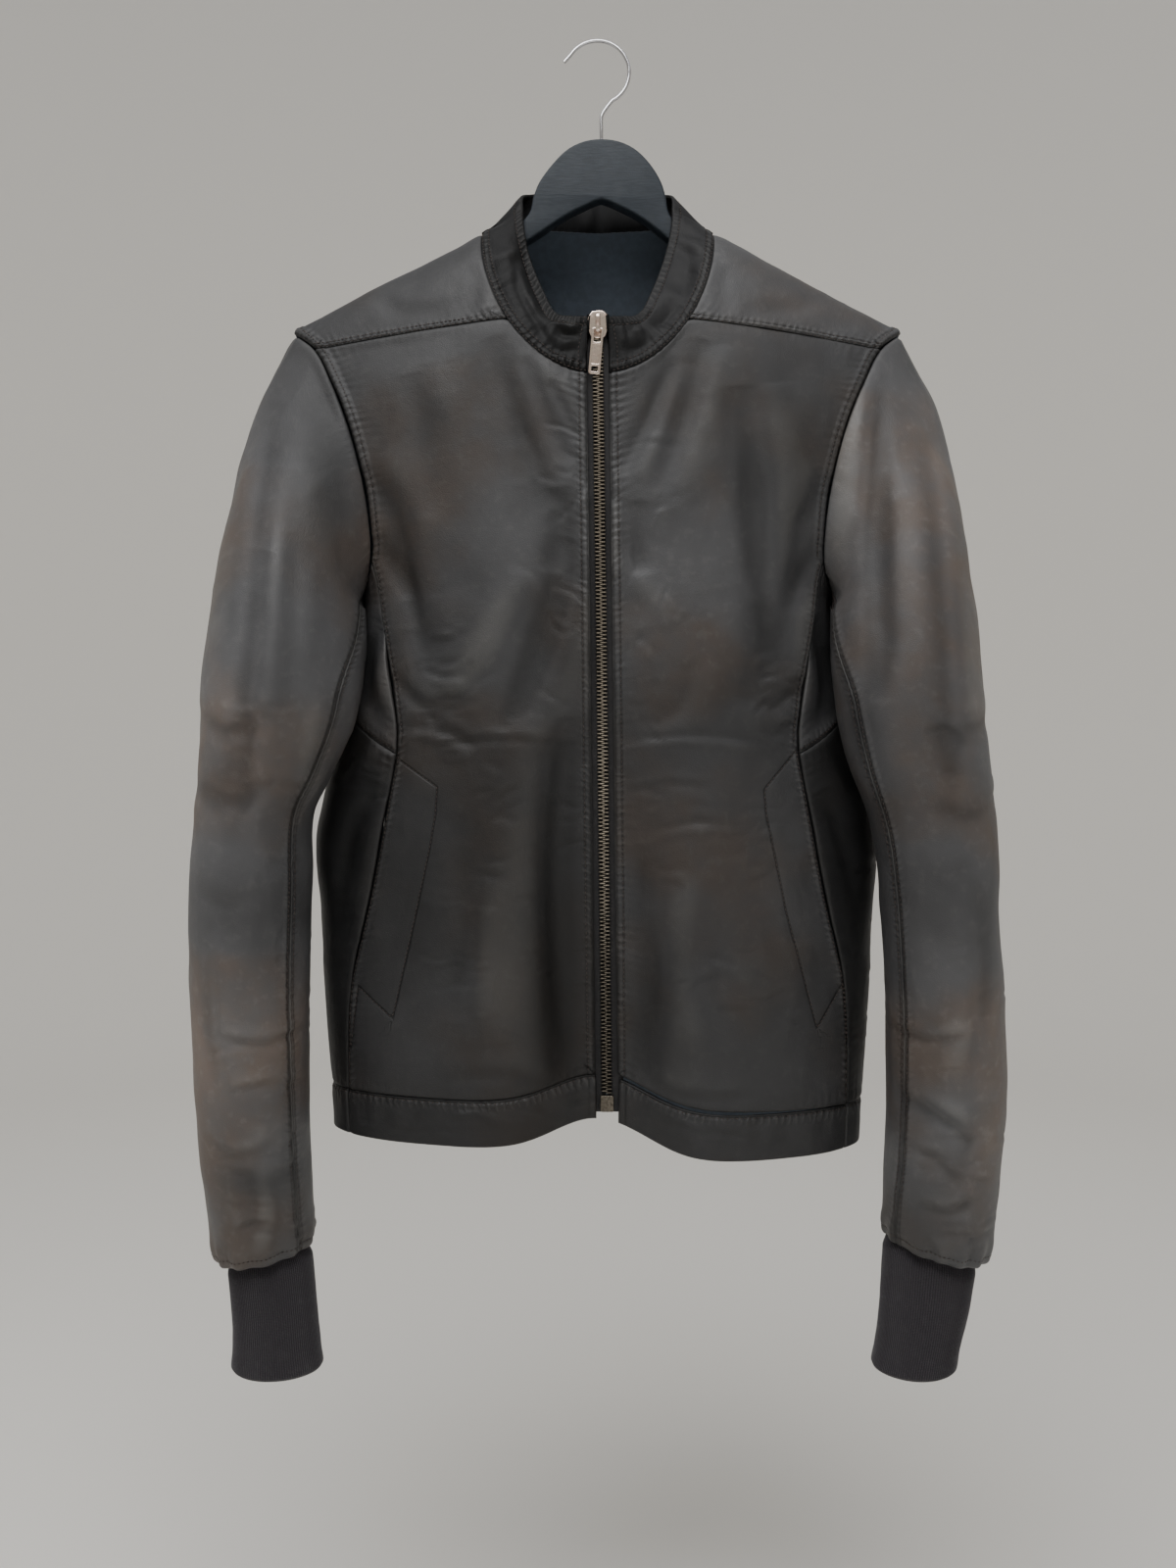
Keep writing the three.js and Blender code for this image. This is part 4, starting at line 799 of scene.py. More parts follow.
class Thread:
    """Collects sewing stitches as slim spindles and turns them into one mesh."""

    pitch, share, radius, sink = 2.9, 0.68, 0.27, 0.05

    def __init__(self):
        self.verts, self.faces = [], []

    def line(self, points, normals):
        run = run_of(points)
        starts = np.arange(self.pitch * 0.3, run[-1] - self.pitch, self.pitch)
        shares = np.array([0, 0.22, 0.78, 1]) * self.pitch * self.share
        lift = (-0.25, self.radius - self.sink, self.radius - self.sink, -0.25)
        for start in starts:
            t = start + shares
            centre = np.stack([np.interp(t, run, points[:, k]) for k in range(3)], -1)
            n = np.array([np.interp(t[1], run, normals[:, k]) for k in range(3)])
            n /= np.linalg.norm(n)
            ahead = centre[-1] - centre[0]
            across = np.cross(n, ahead)
            across /= np.linalg.norm(across) + 1e-9
            base = len(self.verts)
            self.verts.append(centre[0] + n * lift[0])
            for k in (1, 2):
                for a in range(4):
                    turn = math.radians(45 + 90 * a)
                    self.verts.append(centre[k] + n * lift[k] + self.radius * (
                        math.cos(turn) * across + math.sin(turn) * n))
            self.verts.append(centre[3] + n * lift[3])
            for a in range(4):
                b = (a + 1) % 4
                self.faces += [tuple(base + k for k in face) for face in (
                    (0, 1 + b, 1 + a), (1 + a, 1 + b, 5 + b), (1 + a, 5 + b, 5 + a), (9, 5 + a, 5 + b))]

    def along(self, patch, edge, at, start=0.0, stop=1e9):
        """A line of stitches at a distance from a patch's border."""
        grids = [patch.off[edge], patch.outer(), patch.n]
        if edge in ("top", "bottom"):
            grids = [grid.swapaxes(0, 1) for grid in grids]
        d, *grids = grids
        run = patch.run[edge].ravel()
        keep = (run >= start) & (run <= min(stop, run[-1])) & (d.max(1) > at)
        rows = []
        for j in np.flatnonzero(keep):
            order = np.argsort(d[j])
            rows.append([[np.interp(at, d[j][order], grid[j, order, k]) for k in range(3)] for grid in grids])
        if len(rows) > 3:
            self.line(*np.array(rows).swapaxes(0, 1))

    def path(self, patch, route):
        """Stitches along a route of (sideways, drop) points on a patch."""
        route = along_line(np.array(route, float), np.linspace(0, 1, 60))
        grid, flat = patch.outer().reshape(-1, 3), patch.place.reshape(-1, 2)
        normals = patch.n.reshape(-1, 3)
        points, ns = [], []
        for spot in route:
            d = np.hypot(*(flat - spot).T)
            near = np.argpartition(d, 4)[:4]
            weight = 1 / (d[near] + 0.05)
            weight /= weight.sum()
            points.append([spot[0], (grid[near, 1] * weight).sum(), -spot[1]])
            ns.append((normals[near] * weight[:, None]).sum(0))
        self.line(np.array(points), np.array(ns))

    def build(self, material):
        obj = build_mesh("seam_stitches", self.verts, self.faces, [material])
        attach(obj, "jacket")


# ---------------------------------------------------------------- torso panels
def torso_patch(points):
    return Patch(points, points * (0.55, 0, 1) - (0, 0, 45))


def pairs(x, drop):
    return np.stack(np.broadcast_arrays(x, drop), -1).astype(float)


def front_points(side):
    a = np.linspace(ZIP_ANGLE, YOKE_ANGLE, 24)
    end_x = armhole(np.array(YOKE_SHARE), -1)[0] - SEAM
    x = np.linspace(neck_x(YOKE_ANGLE), end_x, 30)[1:]
    top = np.concatenate([pairs(side * neck_x(a), neck_drop(a) + SEAM), pairs(side * x, yoke_drop(x) + SEAM)])
    arm = armhole(np.linspace(YOKE_SHARE, CHEST_FRONT_SEAM, 40), -1)
    arm = pairs(side * (arm[:, 0] - SEAM), arm[:, 1] + SEAM)
    arm[0] = top[-1]
    corner_x = side * (value_at(FRONT_SIDE_SEAM, HEM_DROP - HEM_HEIGHT) - SEAM)
    drops = np.linspace(357, hem_seam(corner_x, -1) - SEAM, 70)
    outer = np.concatenate([arm, pairs(side * (value_at(FRONT_SIDE_SEAM, drops) - SEAM), drops)])
    drops = np.linspace(top[0, 1], hem_seam(0, -1) - SEAM, 60)
    inner = pairs(zip_x(drops) + side * ZIP_HALF_GAP, drops)
    x = np.linspace(inner[-1, 0], outer[-1, 0], 30)
    bottom = pairs(x, hem_seam(x, -1) - SEAM)
    grid = coons(top, bottom, inner, outer, spread(82, 0.5), spread(280, 0.3))
    return torso(grid[..., 0], grid[..., 1], -1)


# folds as (path of sideways place and drop, depth, width, ridge beside it)
FRONT_FOLDS = {
    LEFT: [([(-46, 228), (-34, 262), (-14, 302)], 1.1, 6, 0.6),
           ([(-66, 214), (-52, 262), (-30, 322)], 1.1, 8, 0.6),
           ([(-30, 244), (-22, 262), (-13, 284)], 0.8, 4, 0.5),
           ([(-24, 312), (-22, 339), (-28, 366)], 1.4, 10, 0.5),
           ([(-17, 345), (-30, 400), (-58, 470)], 1.8, 12, 0.6),
           ([(-46, 366), (-68, 405), (-92, 446)], -1.3, 11, 0),
           ([(-114, 478), (-62, 473), (-14, 476)], 0.55, 2.3, 0.7),
           ([(-20, 458), (-26, 560), (-20, 694)], 2.3, 11, -0.5),
           ([(-66, 560), (-72, 610), (-64, 664)], -0.8, 14, 0),
           ([(-152, 296), (-130, 330), (-120, 380)], 1.3, 9, 0.6),
           ([(-146, 340), (-122, 376), (-108, 424)], 1.2, 8, -0.6),
           ([(-134, 432), (-108, 452), (-84, 447)], 0.9, 5, 0.6),
           ([(-130, 466), (-106, 464), (-76, 478)], 0.7, 4, -0.5),
           ([(-100, 690), (-62, 684), (-30, 690)], 0.6, 5, 0.6),
           ([(-88, 520), (-82, 580), (-90, 650)], 0.8, 10, 0.5),
           ([(-120, 236), (-112, 280), (-110, 330)], 0.7, 10, 0.5)],
    RIGHT: [([(48, 228), (34, 262), (15, 304)], 1.1, 6, 0.6),
            ([(68, 216), (56, 262), (40, 316)], 1.1, 8, 0.6),
            ([(92, 246), (103, 330), (109, 446)], 1.9, 12, 0.6),
            ([(25, 322), (24, 346), (27, 368)], 1.4, 9, -0.6),
            ([(20, 372), (34, 380), (50, 400)], -0.9, 9, 0),
            ([(112, 475), (62, 470), (14, 474)], 0.55, 2.3, 0.7),
            ([(18, 506), (44, 501), (70, 503)], 0.45, 2.2, 0.7),
            ([(34, 531), (64, 525), (94, 529)], 0.45, 2.4, -0.7),
            ([(150, 300), (132, 336), (126, 390)], 1.3, 9, -0.6),
            ([(146, 344), (126, 378), (118, 430)], 1.2, 8, 0.6),
            ([(134, 436), (112, 450), (88, 444)], 0.8, 5, 0.6),
            ([(26, 540), (34, 620), (28, 696)], 1.1, 11, 0.5),
            ([(76, 560), (70, 610), (80, 668)], 0.9, 11, -0.5),
            ([(30, 692), (66, 700), (104, 696)], 0.6, 5, 0.6),
            ([(60, 420), (52, 450), (30, 466)], 0.7, 7, 0.5)]}
POCKET_STITCHES = {
    LEFT: [(-130.4, 483), (-102, 502.5), (-103, 520), (-106, 538), (-131, 650), (-155, 631), (-160, 672)],
    RIGHT: [(127.6, 479), (105.5, 504), (106.7, 520), (114.8, 560), (119.2, 581), (140.3, 657), (159.4, 629),
            (161.8, 667)]}
# painted light and shade at each drop down the fronts: lighter on the chest, darker towards the bottom
FRONT_LIGHT_AND_SHADE = {
    LEFT: [[200, 0.95], [255, 0.86], [300, 0.95], [345, 1.1], [380, 0.95], [415, 0.85], [445, 0.85],
           [475, 0.6],
           [510, 0.52], [570, 0.52], [630, 0.6], [704, 0.58]],
    RIGHT: [[200, 0.95], [255, 0.86], [300, 0.95], [345, 1.15], [380, 1.15], [415, 1.0], [445, 0.8],
            [475, 0.72],
            [510, 0.8], [560, 0.9], [630, 0.78], [704, 0.74]]}
# patches on the fronts: uneven dye (the last number) and painted light and shade (the factor)
FRONT_DYE_LIGHT_AND_SHADE = {
    LEFT: [(-26, 640, 22, 90, 0.3, 0.3), (-76, 500, 26, 40, 0.7, 0.4), (-112, 580, 22, 40, 0.8, -0.3),
           (-46, 340, 26, 34, 1.25, 0), (-100, 412, 22, 22, 0.75, 0), (-70, 415, 24, 18, 1.3, 0.2),
           (-74, 628, 26, 34, 1.3, 0), (-120, 670, 20, 30, 1.3, 0), (-24, 425, 22, 34, 0.8, 1.0),
           (-100, 250, 24, 26, 1.0, 0.8), (-60, 470, 40, 14, 0.9, 0.8)],
    RIGHT: [(44, 375, 22, 30, 1.25, -0.5), (86, 455, 26, 22, 0.75, 0), (120, 300, 18, 80, 0.7, 0),
            (118, 415, 20, 40, 0.7, 0), (80, 330, 20, 60, 1.2, 0), (62, 385, 46, 50, 1.2, 0),
            (50, 520, 26, 30, 1.1, 0.5),
            (34, 660, 22, 30, 0.75, 0), (54, 432, 26, 30, 1.0, 1.2), (40, 255, 26, 24, 0.85, 0.8)]}
# patches on the sleeves: uneven dye (the last number) and painted light and shade (the factor)
SLEEVE_DYE_LIGHT_AND_SHADE = {
    LEFT: [(-220, 572, 60, 22, 0.75, -2.2), (-225, 490, 40, 46, 1.0, 1.2), (-210, 660, 40, 44, 1.05, 0.8),
           (-212, 748, 22, 10, 0.6, -0.6), (-214, 790, 40, 26, 1.0, 0.8), (-240, 360, 24, 60, 1.0, 0.5),
           (-176, 285, 24, 70, 0.25, -0.3), (-188, 425, 20, 80, 0.55, 0), (-224, 590, 40, 14, 0.85, -0.5)],
    RIGHT: [(212, 300, 18, 70, 1.5, 0.3), (240, 575, 34, 24, 0.85, -1.2), (205, 560, 22, 30, 0.9, -1.4),
            (215, 470, 40, 50, 1.0, 0.6),
            (220, 680, 50, 60, 1.0, 0.7), (216, 400, 34, 40, 1.0, 0.4), (214, 780, 40, 30, 0.95, 0.8)]}
ARMHOLE_RUN, NECK_RUN = 152, 62     # lengths of the front's armhole border and neck border
POCKET_START = ARMHOLE_RUN + 128    # where the pocket mouth begins on the side border


def add_fronts(m, thread):
    for side, mark in SIDES:
        patch = torso_patch(front_points(side))
        patch.lap("left", width=6, lift=0.5)
        patch.tuck("top", stop=NECK_RUN, gather=0.5, reach=8)
        patch.tuck("top", start=NECK_RUN, gather=0.32)
        patch.lap("right", stop=ARMHOLE_RUN)
        patch.lap("right", start=ARMHOLE_RUN, stop=POCKET_START, width=4.6, lift=0.4)
        patch.lap("right", start=POCKET_START, width=3.2, lift=0.7, depth=1.1)
        patch.tuck("bottom", gather=0.35, reach=9)
        patch.edge_turn("right", LEATHER, 1.4)
        patch.settle("bottom")
        patch.drape()
        patch.folds(FRONT_FOLDS[side])
        patch.small_creases(11 + side, 46, ((side * 25, 420), (side * 120, 660)))
        patch.small_creases(15 + side, 14, ((side * 18, 255), (side * 40, 460)), slope=0.6)
        patch.small_creases(19 + side, 16, ((side * 95, 400), (side * 120, 480)), depth=0.5)
        patch.stitched_route(POCKET_STITCHES[side])
        # the zip pulls the front edge down in short waves
        d, s, _ = patch.near("left")
        patch.height += 0.5 * np.sin(s * 2 * math.pi / 34 + 1.4 * side + 2 * noise(patch.p, 60, 12)) \
            * np.exp(-d / 14) * smooth_step(0, 5, d)
        # painted light and shade down the front, then patches of dye and of painted light and shade
        patch.tone *= value_at(FRONT_LIGHT_AND_SHADE[side], patch.place[..., 1] + 10 * noise(patch.p, 40, 17))
        patch.dye_light_and_shade(FRONT_DYE_LIGHT_AND_SHADE[side])
        piece = shell(f"front_panel_{mark}", [patch], LEATHER, m["leather"], m["lining"])
        dress(piece, f"front_{mark}")
        thread.along(patch, "left", 5.1)
        thread.along(patch, "right", 5.6, stop=ARMHOLE_RUN)
        thread.along(patch, "right", 3.7, start=ARMHOLE_RUN, stop=POCKET_START - 2)
        thread.along(patch, "right", 2.2, start=POCKET_START)
        thread.path(patch, POCKET_STITCHES[side])
        add_pocket_facing(m, patch, mark)


def add_pocket_facing(m, front, mark):
    """The pocket's leather facing lies behind the front, along the mouth in the side seam."""
    rows, cols = front.p.shape[:2]
    start = int(np.argmax(front.place[:, -1, 1] >= SLANT_FRONT))
    j = np.linspace(start, rows - 1, 60)
    widen = smooth_step(0, 1, np.clip((j - start) / (0.1 * rows), 0.02, 1))
    i = (cols - 1) * (1 - 0.19 * widen[:, None] * np.linspace(1, 0, 18)[None])
    j = np.broadcast_to(j[:, None], i.shape)
    j0, i0 = np.minimum(j.astype(int), rows - 2), np.minimum(i.astype(int), cols - 2)
    v, u = (j - j0)[..., None], (i - i0)[..., None]

    def sample(grid):
        return mix(mix(grid[j0, i0], grid[j0, i0 + 1], u), mix(grid[j0 + 1, i0], grid[j0 + 1, i0 + 1], u), v)

    points = sample(front.p) - sample(front.n) * (LEATHER + LAYER_GAP)
    patch = torso_patch(points)
    patch.height += 0.6 * sample(front.height[..., None])[..., 0]
    # the facing uses the darker leather: painted shade in the pocket mouth
    piece = shell(f"pocket_bag_{mark}", [patch], LINING, m["dark_leather"])
    dress(piece, f"pocket_facing_{mark}")


def side_column(share, drop):
    start = side_angle(value_at(FRONT_SIDE_SEAM, drop) + SEAM, drop, -1)
    end = side_angle(value_at(BACK_SIDE_SEAM, drop) + SEAM, drop, 1)
    return mix(start, end, share)


def side_points(side, rows, cols, top_row=None, ends=()):
    """Grid round one side between the side seams; ends are (front drop, back drop) of its key rows."""
    share = spread(cols, 0.45)
    keys = [] if top_row is None else [top_row(share)]
    for front, back in ends:
        drop = mix(front, back, np.sin(share * math.pi / 2))
        keys.append(np.stack([side_column(share, drop), drop]))
    keys = np.array(keys).reshape(len(keys), -1)
    knots = np.concatenate([[0], np.cumsum(np.abs(np.diff(keys[:, -1])) + np.abs(np.diff(keys[:, cols])))])
    grid = through(np.column_stack([knots / knots[-1], keys]), spread(rows, 0.35)).reshape(rows, 2, cols)
    return around_side(grid[:, 0], grid[:, 1], side)


UNDERARM_PLACES = [[k / 6, u] for k, u in enumerate((-0.18, -0.12, -0.06, 0, 0.05, 0.12, 0.2))]


def underarm_top(share):
    u = value_at(UNDERARM_PLACES, share)
    spot = armhole(1 - np.abs(u), np.where(u < 0, -1, 1))
    angle = side_angle(spot[:, 0], spot[:, 1], np.where(u < 0, -1, 1))
    ends = side_column(np.array([0.0, 1.0]), spot[[0, -1], 1])
    angle[0], angle[-1] = ends
    return np.stack([angle, spot[:, 1] + SEAM])


SIDE_FOLDS = {
    LEFT: [([(-140, 392), (-150, 430), (-138, 468)], 1.6, 7, 0.6), ([(-152, 402), (-154, 452)], 1.0, 6, 0.5),
           ([(-140, 500), (-160, 540), (-166, 600)], 1.4, 8, 0.5), ([(-150, 470), (-172, 500)], 0.9, 5, 0.6)],
    RIGHT: [([(142, 390), (150, 436), (140, 470)], 1.5, 7, -0.6), ([(152, 410), (156, 455)], 1.0, 6, 0.5),
            ([(144, 505), (162, 548), (168, 610)], 1.3, 8, -0.5), ([(152, 474), (174, 508)], 0.9, 5, 0.6)]}


def add_sides(m, thread):
    for side, mark in SIDES:
        points = side_points(side, 76, 48, underarm_top,
                             [(385, 370), (420, 390), (459, 410), (SLANT_FRONT - SEAM, SLANT_BACK - SEAM)])
        upper = torso_patch(points)
        upper.tuck("top", gather=0.5)
        upper.tuck("left", gather=0.3)
        upper.tuck("right", gather=0.3)
        upper.lap("bottom", width=3, lift=0.3)
        upper.drape()
        upper.folds(SIDE_FOLDS[side])
        thread.along(upper, "bottom", 2.2)
        end = HEM_DROP - HEM_HEIGHT + side * 5 - SEAM
        points = side_points(side, 130, 60, None, [
            (SLANT_FRONT + SEAM, SLANT_BACK + SEAM), (506, 480), (545, 520), (585, 560), (620, 600),
            (660, 650),
            (end, end)])
        lower = torso_patch(points)
        for edge in ("left", "right", "bottom"):
            lower.tuck(edge, gather=0.3)
        lower.tuck("top", gather=0.4)
        lower.settle("bottom")
        lower.drape()
        lower.folds(SIDE_FOLDS[side])
        lower.small_creases(41 + side, 24, ((side * 150, 450), (side * 180, 680)))
        for patch, name, node in ((upper, "underarm_gusset", "underarm"), (lower, "side_panel", "side")):
            # painted light and shade: the gussets of darker leather are painted lighter again, and the side
            # panels a little darker
            patch.tone *= {"underarm_gusset": 2.2, "side_panel": 0.8}[name]
            piece = shell(f"{name}_{mark}", [patch], LEATHER, m["dark_leather"], m["lining"])
            dress(piece, f"{node}_{mark}")


def nearest_on(line, points):
    """Distance from each point to a line of 3-D points, and the distance along it."""
    flat = points.reshape(-1, 3)
    tree = mathutils.kdtree.KDTree(len(line))
    for k, p in enumerate(line):
        tree.insert(p, k)
    tree.balance()
    near = np.array([tree.find(p)[1] for p in flat])
    run = run_of(line)
    best, along = np.full(len(flat), 1e9), np.zeros(len(flat))
    for k in (np.maximum(near - 1, 0), np.minimum(near, len(line) - 2)):
        edge = line[k + 1] - line[k]
        t = np.clip(((flat - line[k]) * edge).sum(1) / np.maximum((edge * edge).sum(1), 1e-9), 0, 1)
        d = np.linalg.norm(flat - line[k] - edge * t[:, None], axis=1)
        closer = d < best
        best = np.where(closer, d, best)
        along = np.where(closer, run[k] + t * (run[k + 1] - run[k]), along)
    return best.reshape(points.shape[:-1]), along.reshape(points.shape[:-1])


BACK_FOLDS = [
    ([(-118, 270), (-112, 360), (-96, 452)], 1.3, 12, 0.5),
    ([(112, 262), (110, 350), (98, 448)], 1.3, 12, -0.5),
    ([(-138, 300), (-132, 360), (-136, 420)], 1.2, 9, 0.6),
    ([(136, 306), (130, 370), (134, 424)], 1.2, 9, -0.6),
    ([(-128, 452), (-60, 462), (-8, 456)], 1.2, 6, 0.6), ([(6, 448), (64, 458), (130, 450)], 1.1, 6, 0.6),
    ([(-92, 486), (-30, 493), (34, 486)], 0.9, 5, 0.6), ([(-14, 178), (-18, 260), (-8, 340)], 0.8, 14, 0.4),
    ([(-58, 150), (-66, 200), (-60, 250)], 0.7, 9, 0.5), ([(56, 150), (66, 204), (62, 252)], 0.7, 9, -0.5),
    ([(-104, 520), (-94, 600), (-100, 690)], 1.0, 12, 0.5), ([(36, 520), (44, 600), (38, 694)], 0.9, 12, 0.5),
    ([(104, 530), (96, 610), (104, 690)], 1.0, 11, -0.5),
    ([(-40, 560), (-34, 640), (-38, 700)], 0.7, 12, -0.5)]
YOKE_FOLDS = [
    ([(-150, 176), (-130, 190), (-96, 194)], 0.5, 6, 0.5), ([(148, 178), (128, 190), (92, 196)], 0.5, 6, 0.5),
    ([(-84, 160), (-78, 178), (-82, 198)], 0.6, 6, 0.5), ([(86, 162), (80, 180), (84, 198)], 0.5, 6, -0.5)]


BACK_ARM_RUN, BACK_ARM_ROWS = 190, 140  # the back's armhole border below the shoulder line


def back_outline(side):
    """(x, s) down one outer border of the back, from the forward shoulder seam to the hem."""
    f = np.linspace(0, CHEST_BACK_SEAM, 60)
    arm = armhole(f, 1)
    s = over_shoulder_place(arm[:, 0] - SEAM, arm[:, 1] + SEAM, 1)
    s[0] = 0
    down = pairs(side * (arm[:, 0] - SEAM), s)
    drops = np.linspace(352, HEM_DROP - HEM_HEIGHT, 90)
    half = value_at(BACK_SIDE_SEAM, drops) - SEAM
    seam = pairs(side * half, over_shoulder_place(half, drops, 1))
    seam[-1, 1] = over_shoulder_place(half[-1], hem_seam(side * half[-1], 1) - SEAM, 1)
    return np.concatenate([down, seam])


def yoke_points(side, cols):
    """The part of the back in front of one shoulder line; its last row is the shoulder line itself."""
    end_x, end_drop = armhole(np.array(YOKE_SHARE), -1)
    corner = [side * (end_x - SEAM), over_shoulder_place(end_x - SEAM, end_drop - 2 * SEAM, -1)]
    tip = [side * (armhole(np.array(0.0), 1)[0] - SEAM), 0]
    a = np.linspace(YOKE_ANGLE, 90, 30)
    x = neck_x(a) + 2 * SEAM
    neck = pairs(side * x, over_shoulder_place(x, neck_drop(a), -1))
    neck[0] = [side * (neck_x(YOKE_ANGLE) + SEAM),
               over_shoulder_place(neck_x(YOKE_ANGLE) + SEAM, yoke_drop(57) - SEAM, -1)]
    neck[-1] = [side * (NECK_HALF + 2 * SEAM), 0]
    x = np.linspace(abs(neck[0, 0]), end_x - SEAM, 40)
    seam = pairs(side * x, over_shoulder_place(x, yoke_drop(x) - SEAM, -1))
    seam[0], seam[-1] = neck[0], corner
    spot = armhole(np.linspace(YOKE_SHARE, 0, 20), -1)
    x = spot[:, 0] - SEAM
    arm = pairs(side * x, over_shoulder_place(x, spot[:, 1] - 2 * SEAM, -1))
    arm[0], arm[-1] = corner, tip
    ridge = np.linspace(neck[-1], tip, 20).astype(float)
    return coons(seam, ridge, neck, arm, spread(cols, 0.3), spread(48, 0.5))


def add_back(m, thread):
    cols = 74
    yokes = {side: yoke_points(side, cols) for side in (LEFT, RIGHT)}
    angle, sign = round_both(np.linspace(90, 180, 46))
    half = neck_x(angle)
    neck = pairs(sign * half, over_shoulder_place(half, neck_drop(angle) + 4 * SEAM, 1))
    left, right = yokes[LEFT][-1], yokes[RIGHT][-1]
    top = np.concatenate([left[::-1], neck[1:-1], right])
    outer = {side: along_line(back_outline(side), spread(280, 0.25)) for side in (LEFT, RIGHT)}
    outer[LEFT][0], outer[RIGHT][0] = top[0], top[-1]
    x = np.interp(np.arange(len(top)), [0, cols, len(top) - cols, len(top) - 1],
                  [outer[LEFT][-1, 0], -66, 66, outer[RIGHT][-1, 0]])
    hem = pairs(x, over_shoulder_place(np.abs(x), hem_seam(x, 1) - SEAM, 1))
    main = coons(top, hem, outer[LEFT], outer[RIGHT])
    grids = [over_shoulder(grid[..., 0], grid[..., 1]) for grid in (yokes[LEFT], yokes[RIGHT], main)]
    grids[0][-1], grids[1][-1] = grids[2][0, cols - 1::-1], grids[2][0, -cols:]
    patches = [torso_patch(grid) for grid in grids]
    neck_line = np.concatenate([grids[0][:, 0], grids[2][0, cols:-cols], grids[1][::-1, 0]])
    arms = [np.concatenate([grids[0][:, -1], grids[2][1:BACK_ARM_ROWS, 0]]),
            np.concatenate([grids[1][:, -1], grids[2][1:BACK_ARM_ROWS, -1]])]
    for k, patch in enumerate(patches):
        d, s = nearest_on(neck_line, patch.p)
        patch.off["neck"], patch.run["neck"] = d, s
        patch.tuck("neck", gather=0.45, reach=8)
        for j, arm in enumerate(arms):
            patch.off[f"arm{j}"], patch.run[f"arm{j}"] = nearest_on(arm, patch.p)
            patch.lap(f"arm{j}")
            patch.edge_turn(f"arm{j}", LEATHER, 1.4)
        if k < 2:
            patch.lap("top", width=4.8, lift=0.5)
            thread.along(patch, "top", 1.0)
            thread.along(patch, "top", 4.0)
            thread.along(patch, "right", 5.6)
        else:
            for edge in ("left", "right"):
                patch.lap(edge, start=BACK_ARM_RUN, width=4.6, lift=0.4)
                thread.along(patch, edge, 3.7, start=BACK_ARM_RUN)
                thread.along(patch, edge, 5.6, stop=BACK_ARM_RUN)
            patch.tuck("bottom", gather=0.35)
            patch.settle("bottom")
        patch.drape()
        patch.folds(YOKE_FOLDS, face=-1)
        patch.folds(BACK_FOLDS, face=1)
        patch.small_creases(61, 60, ((-120, 420), (110, 640)), face=1)
        # painted light: lighter at the top and darker towards the bottom; painted shade on the left part that
        # faces the front
        patch.tone *= value_at([[120, 1.35], [210, 1.3], [300, 1.15], [450, 0.95], [700, 0.75]],
                               patch.place[..., 1])
        patch.tone *= 1 - (0.40 * (1 - smooth_step(-70, -10, patch.place[..., 0]))
                           * smooth_step(-0.05, 0.3, -patch.n[..., 1]))
    piece = shell("back_panel", patches, LEATHER, m["leather"], m["lining"])
    dress(piece, "back")
    add_neck_lining(m)


def add_neck_lining(m):
    """The lining shows only inside the back of the neck, gathered a little under the collar seam."""
    x = np.linspace(-54, 54, 96)
    angle = 180 - np.degrees(np.arcsin(np.abs(x) / NECK_HALF))
    top = neck_drop(angle) - 3.4
    share = np.linspace(0, 1, 64)[:, None]
    drop = mix(top[None], 212, share)
    points = over_shoulder(np.broadcast_to(x, drop.shape), over_shoulder_place(np.abs(x)[None], drop, 1))
    patch = torso_patch(points)
    inset = LEATHER + LAYER_GAP
    patch.p = patch.p - patch.n * inset
    d = patch.off["top"]
    patch.height += 0.25 * np.sin(x[None] * 2 * math.pi / 5.2 + 2 * noise(patch.p, 20, 5)) * np.exp(-d / 7)
    patch.height -= 0.5 * (1 + noise(patch.p, 26, 7)) * smooth_step(4, 20, d)
    patch.height -= 0.35 * bell(d - 12, 1.0)
    piece = shell("neck_back_lining", [patch], LINING, m["lining"], m["lining"])
    dress(piece, "neck_lining")


# ---------------------------------------------------------------- hem band
def hem_points(side_of, angle):
    x = side_of * value_at(HALF_WIDTH, np.array(float(HEM_DROP))) * np.sin(np.radians(angle))
    face = np.where(angle < 90, -1, 1)
    share = spread(26, 0.5)[:, None]
    drop = mix((hem_seam(x, face) + 2 * SEAM)[None], hem_edge(x, face)[None], share)
    width = value_at(HALF_WIDTH, drop)
    p = torso(side_of * width * np.sin(np.radians(angle)), drop, np.broadcast_to(face, drop.shape))
    p[:, np.abs(angle - 90) < 1e-9, 1] = 0
    return p


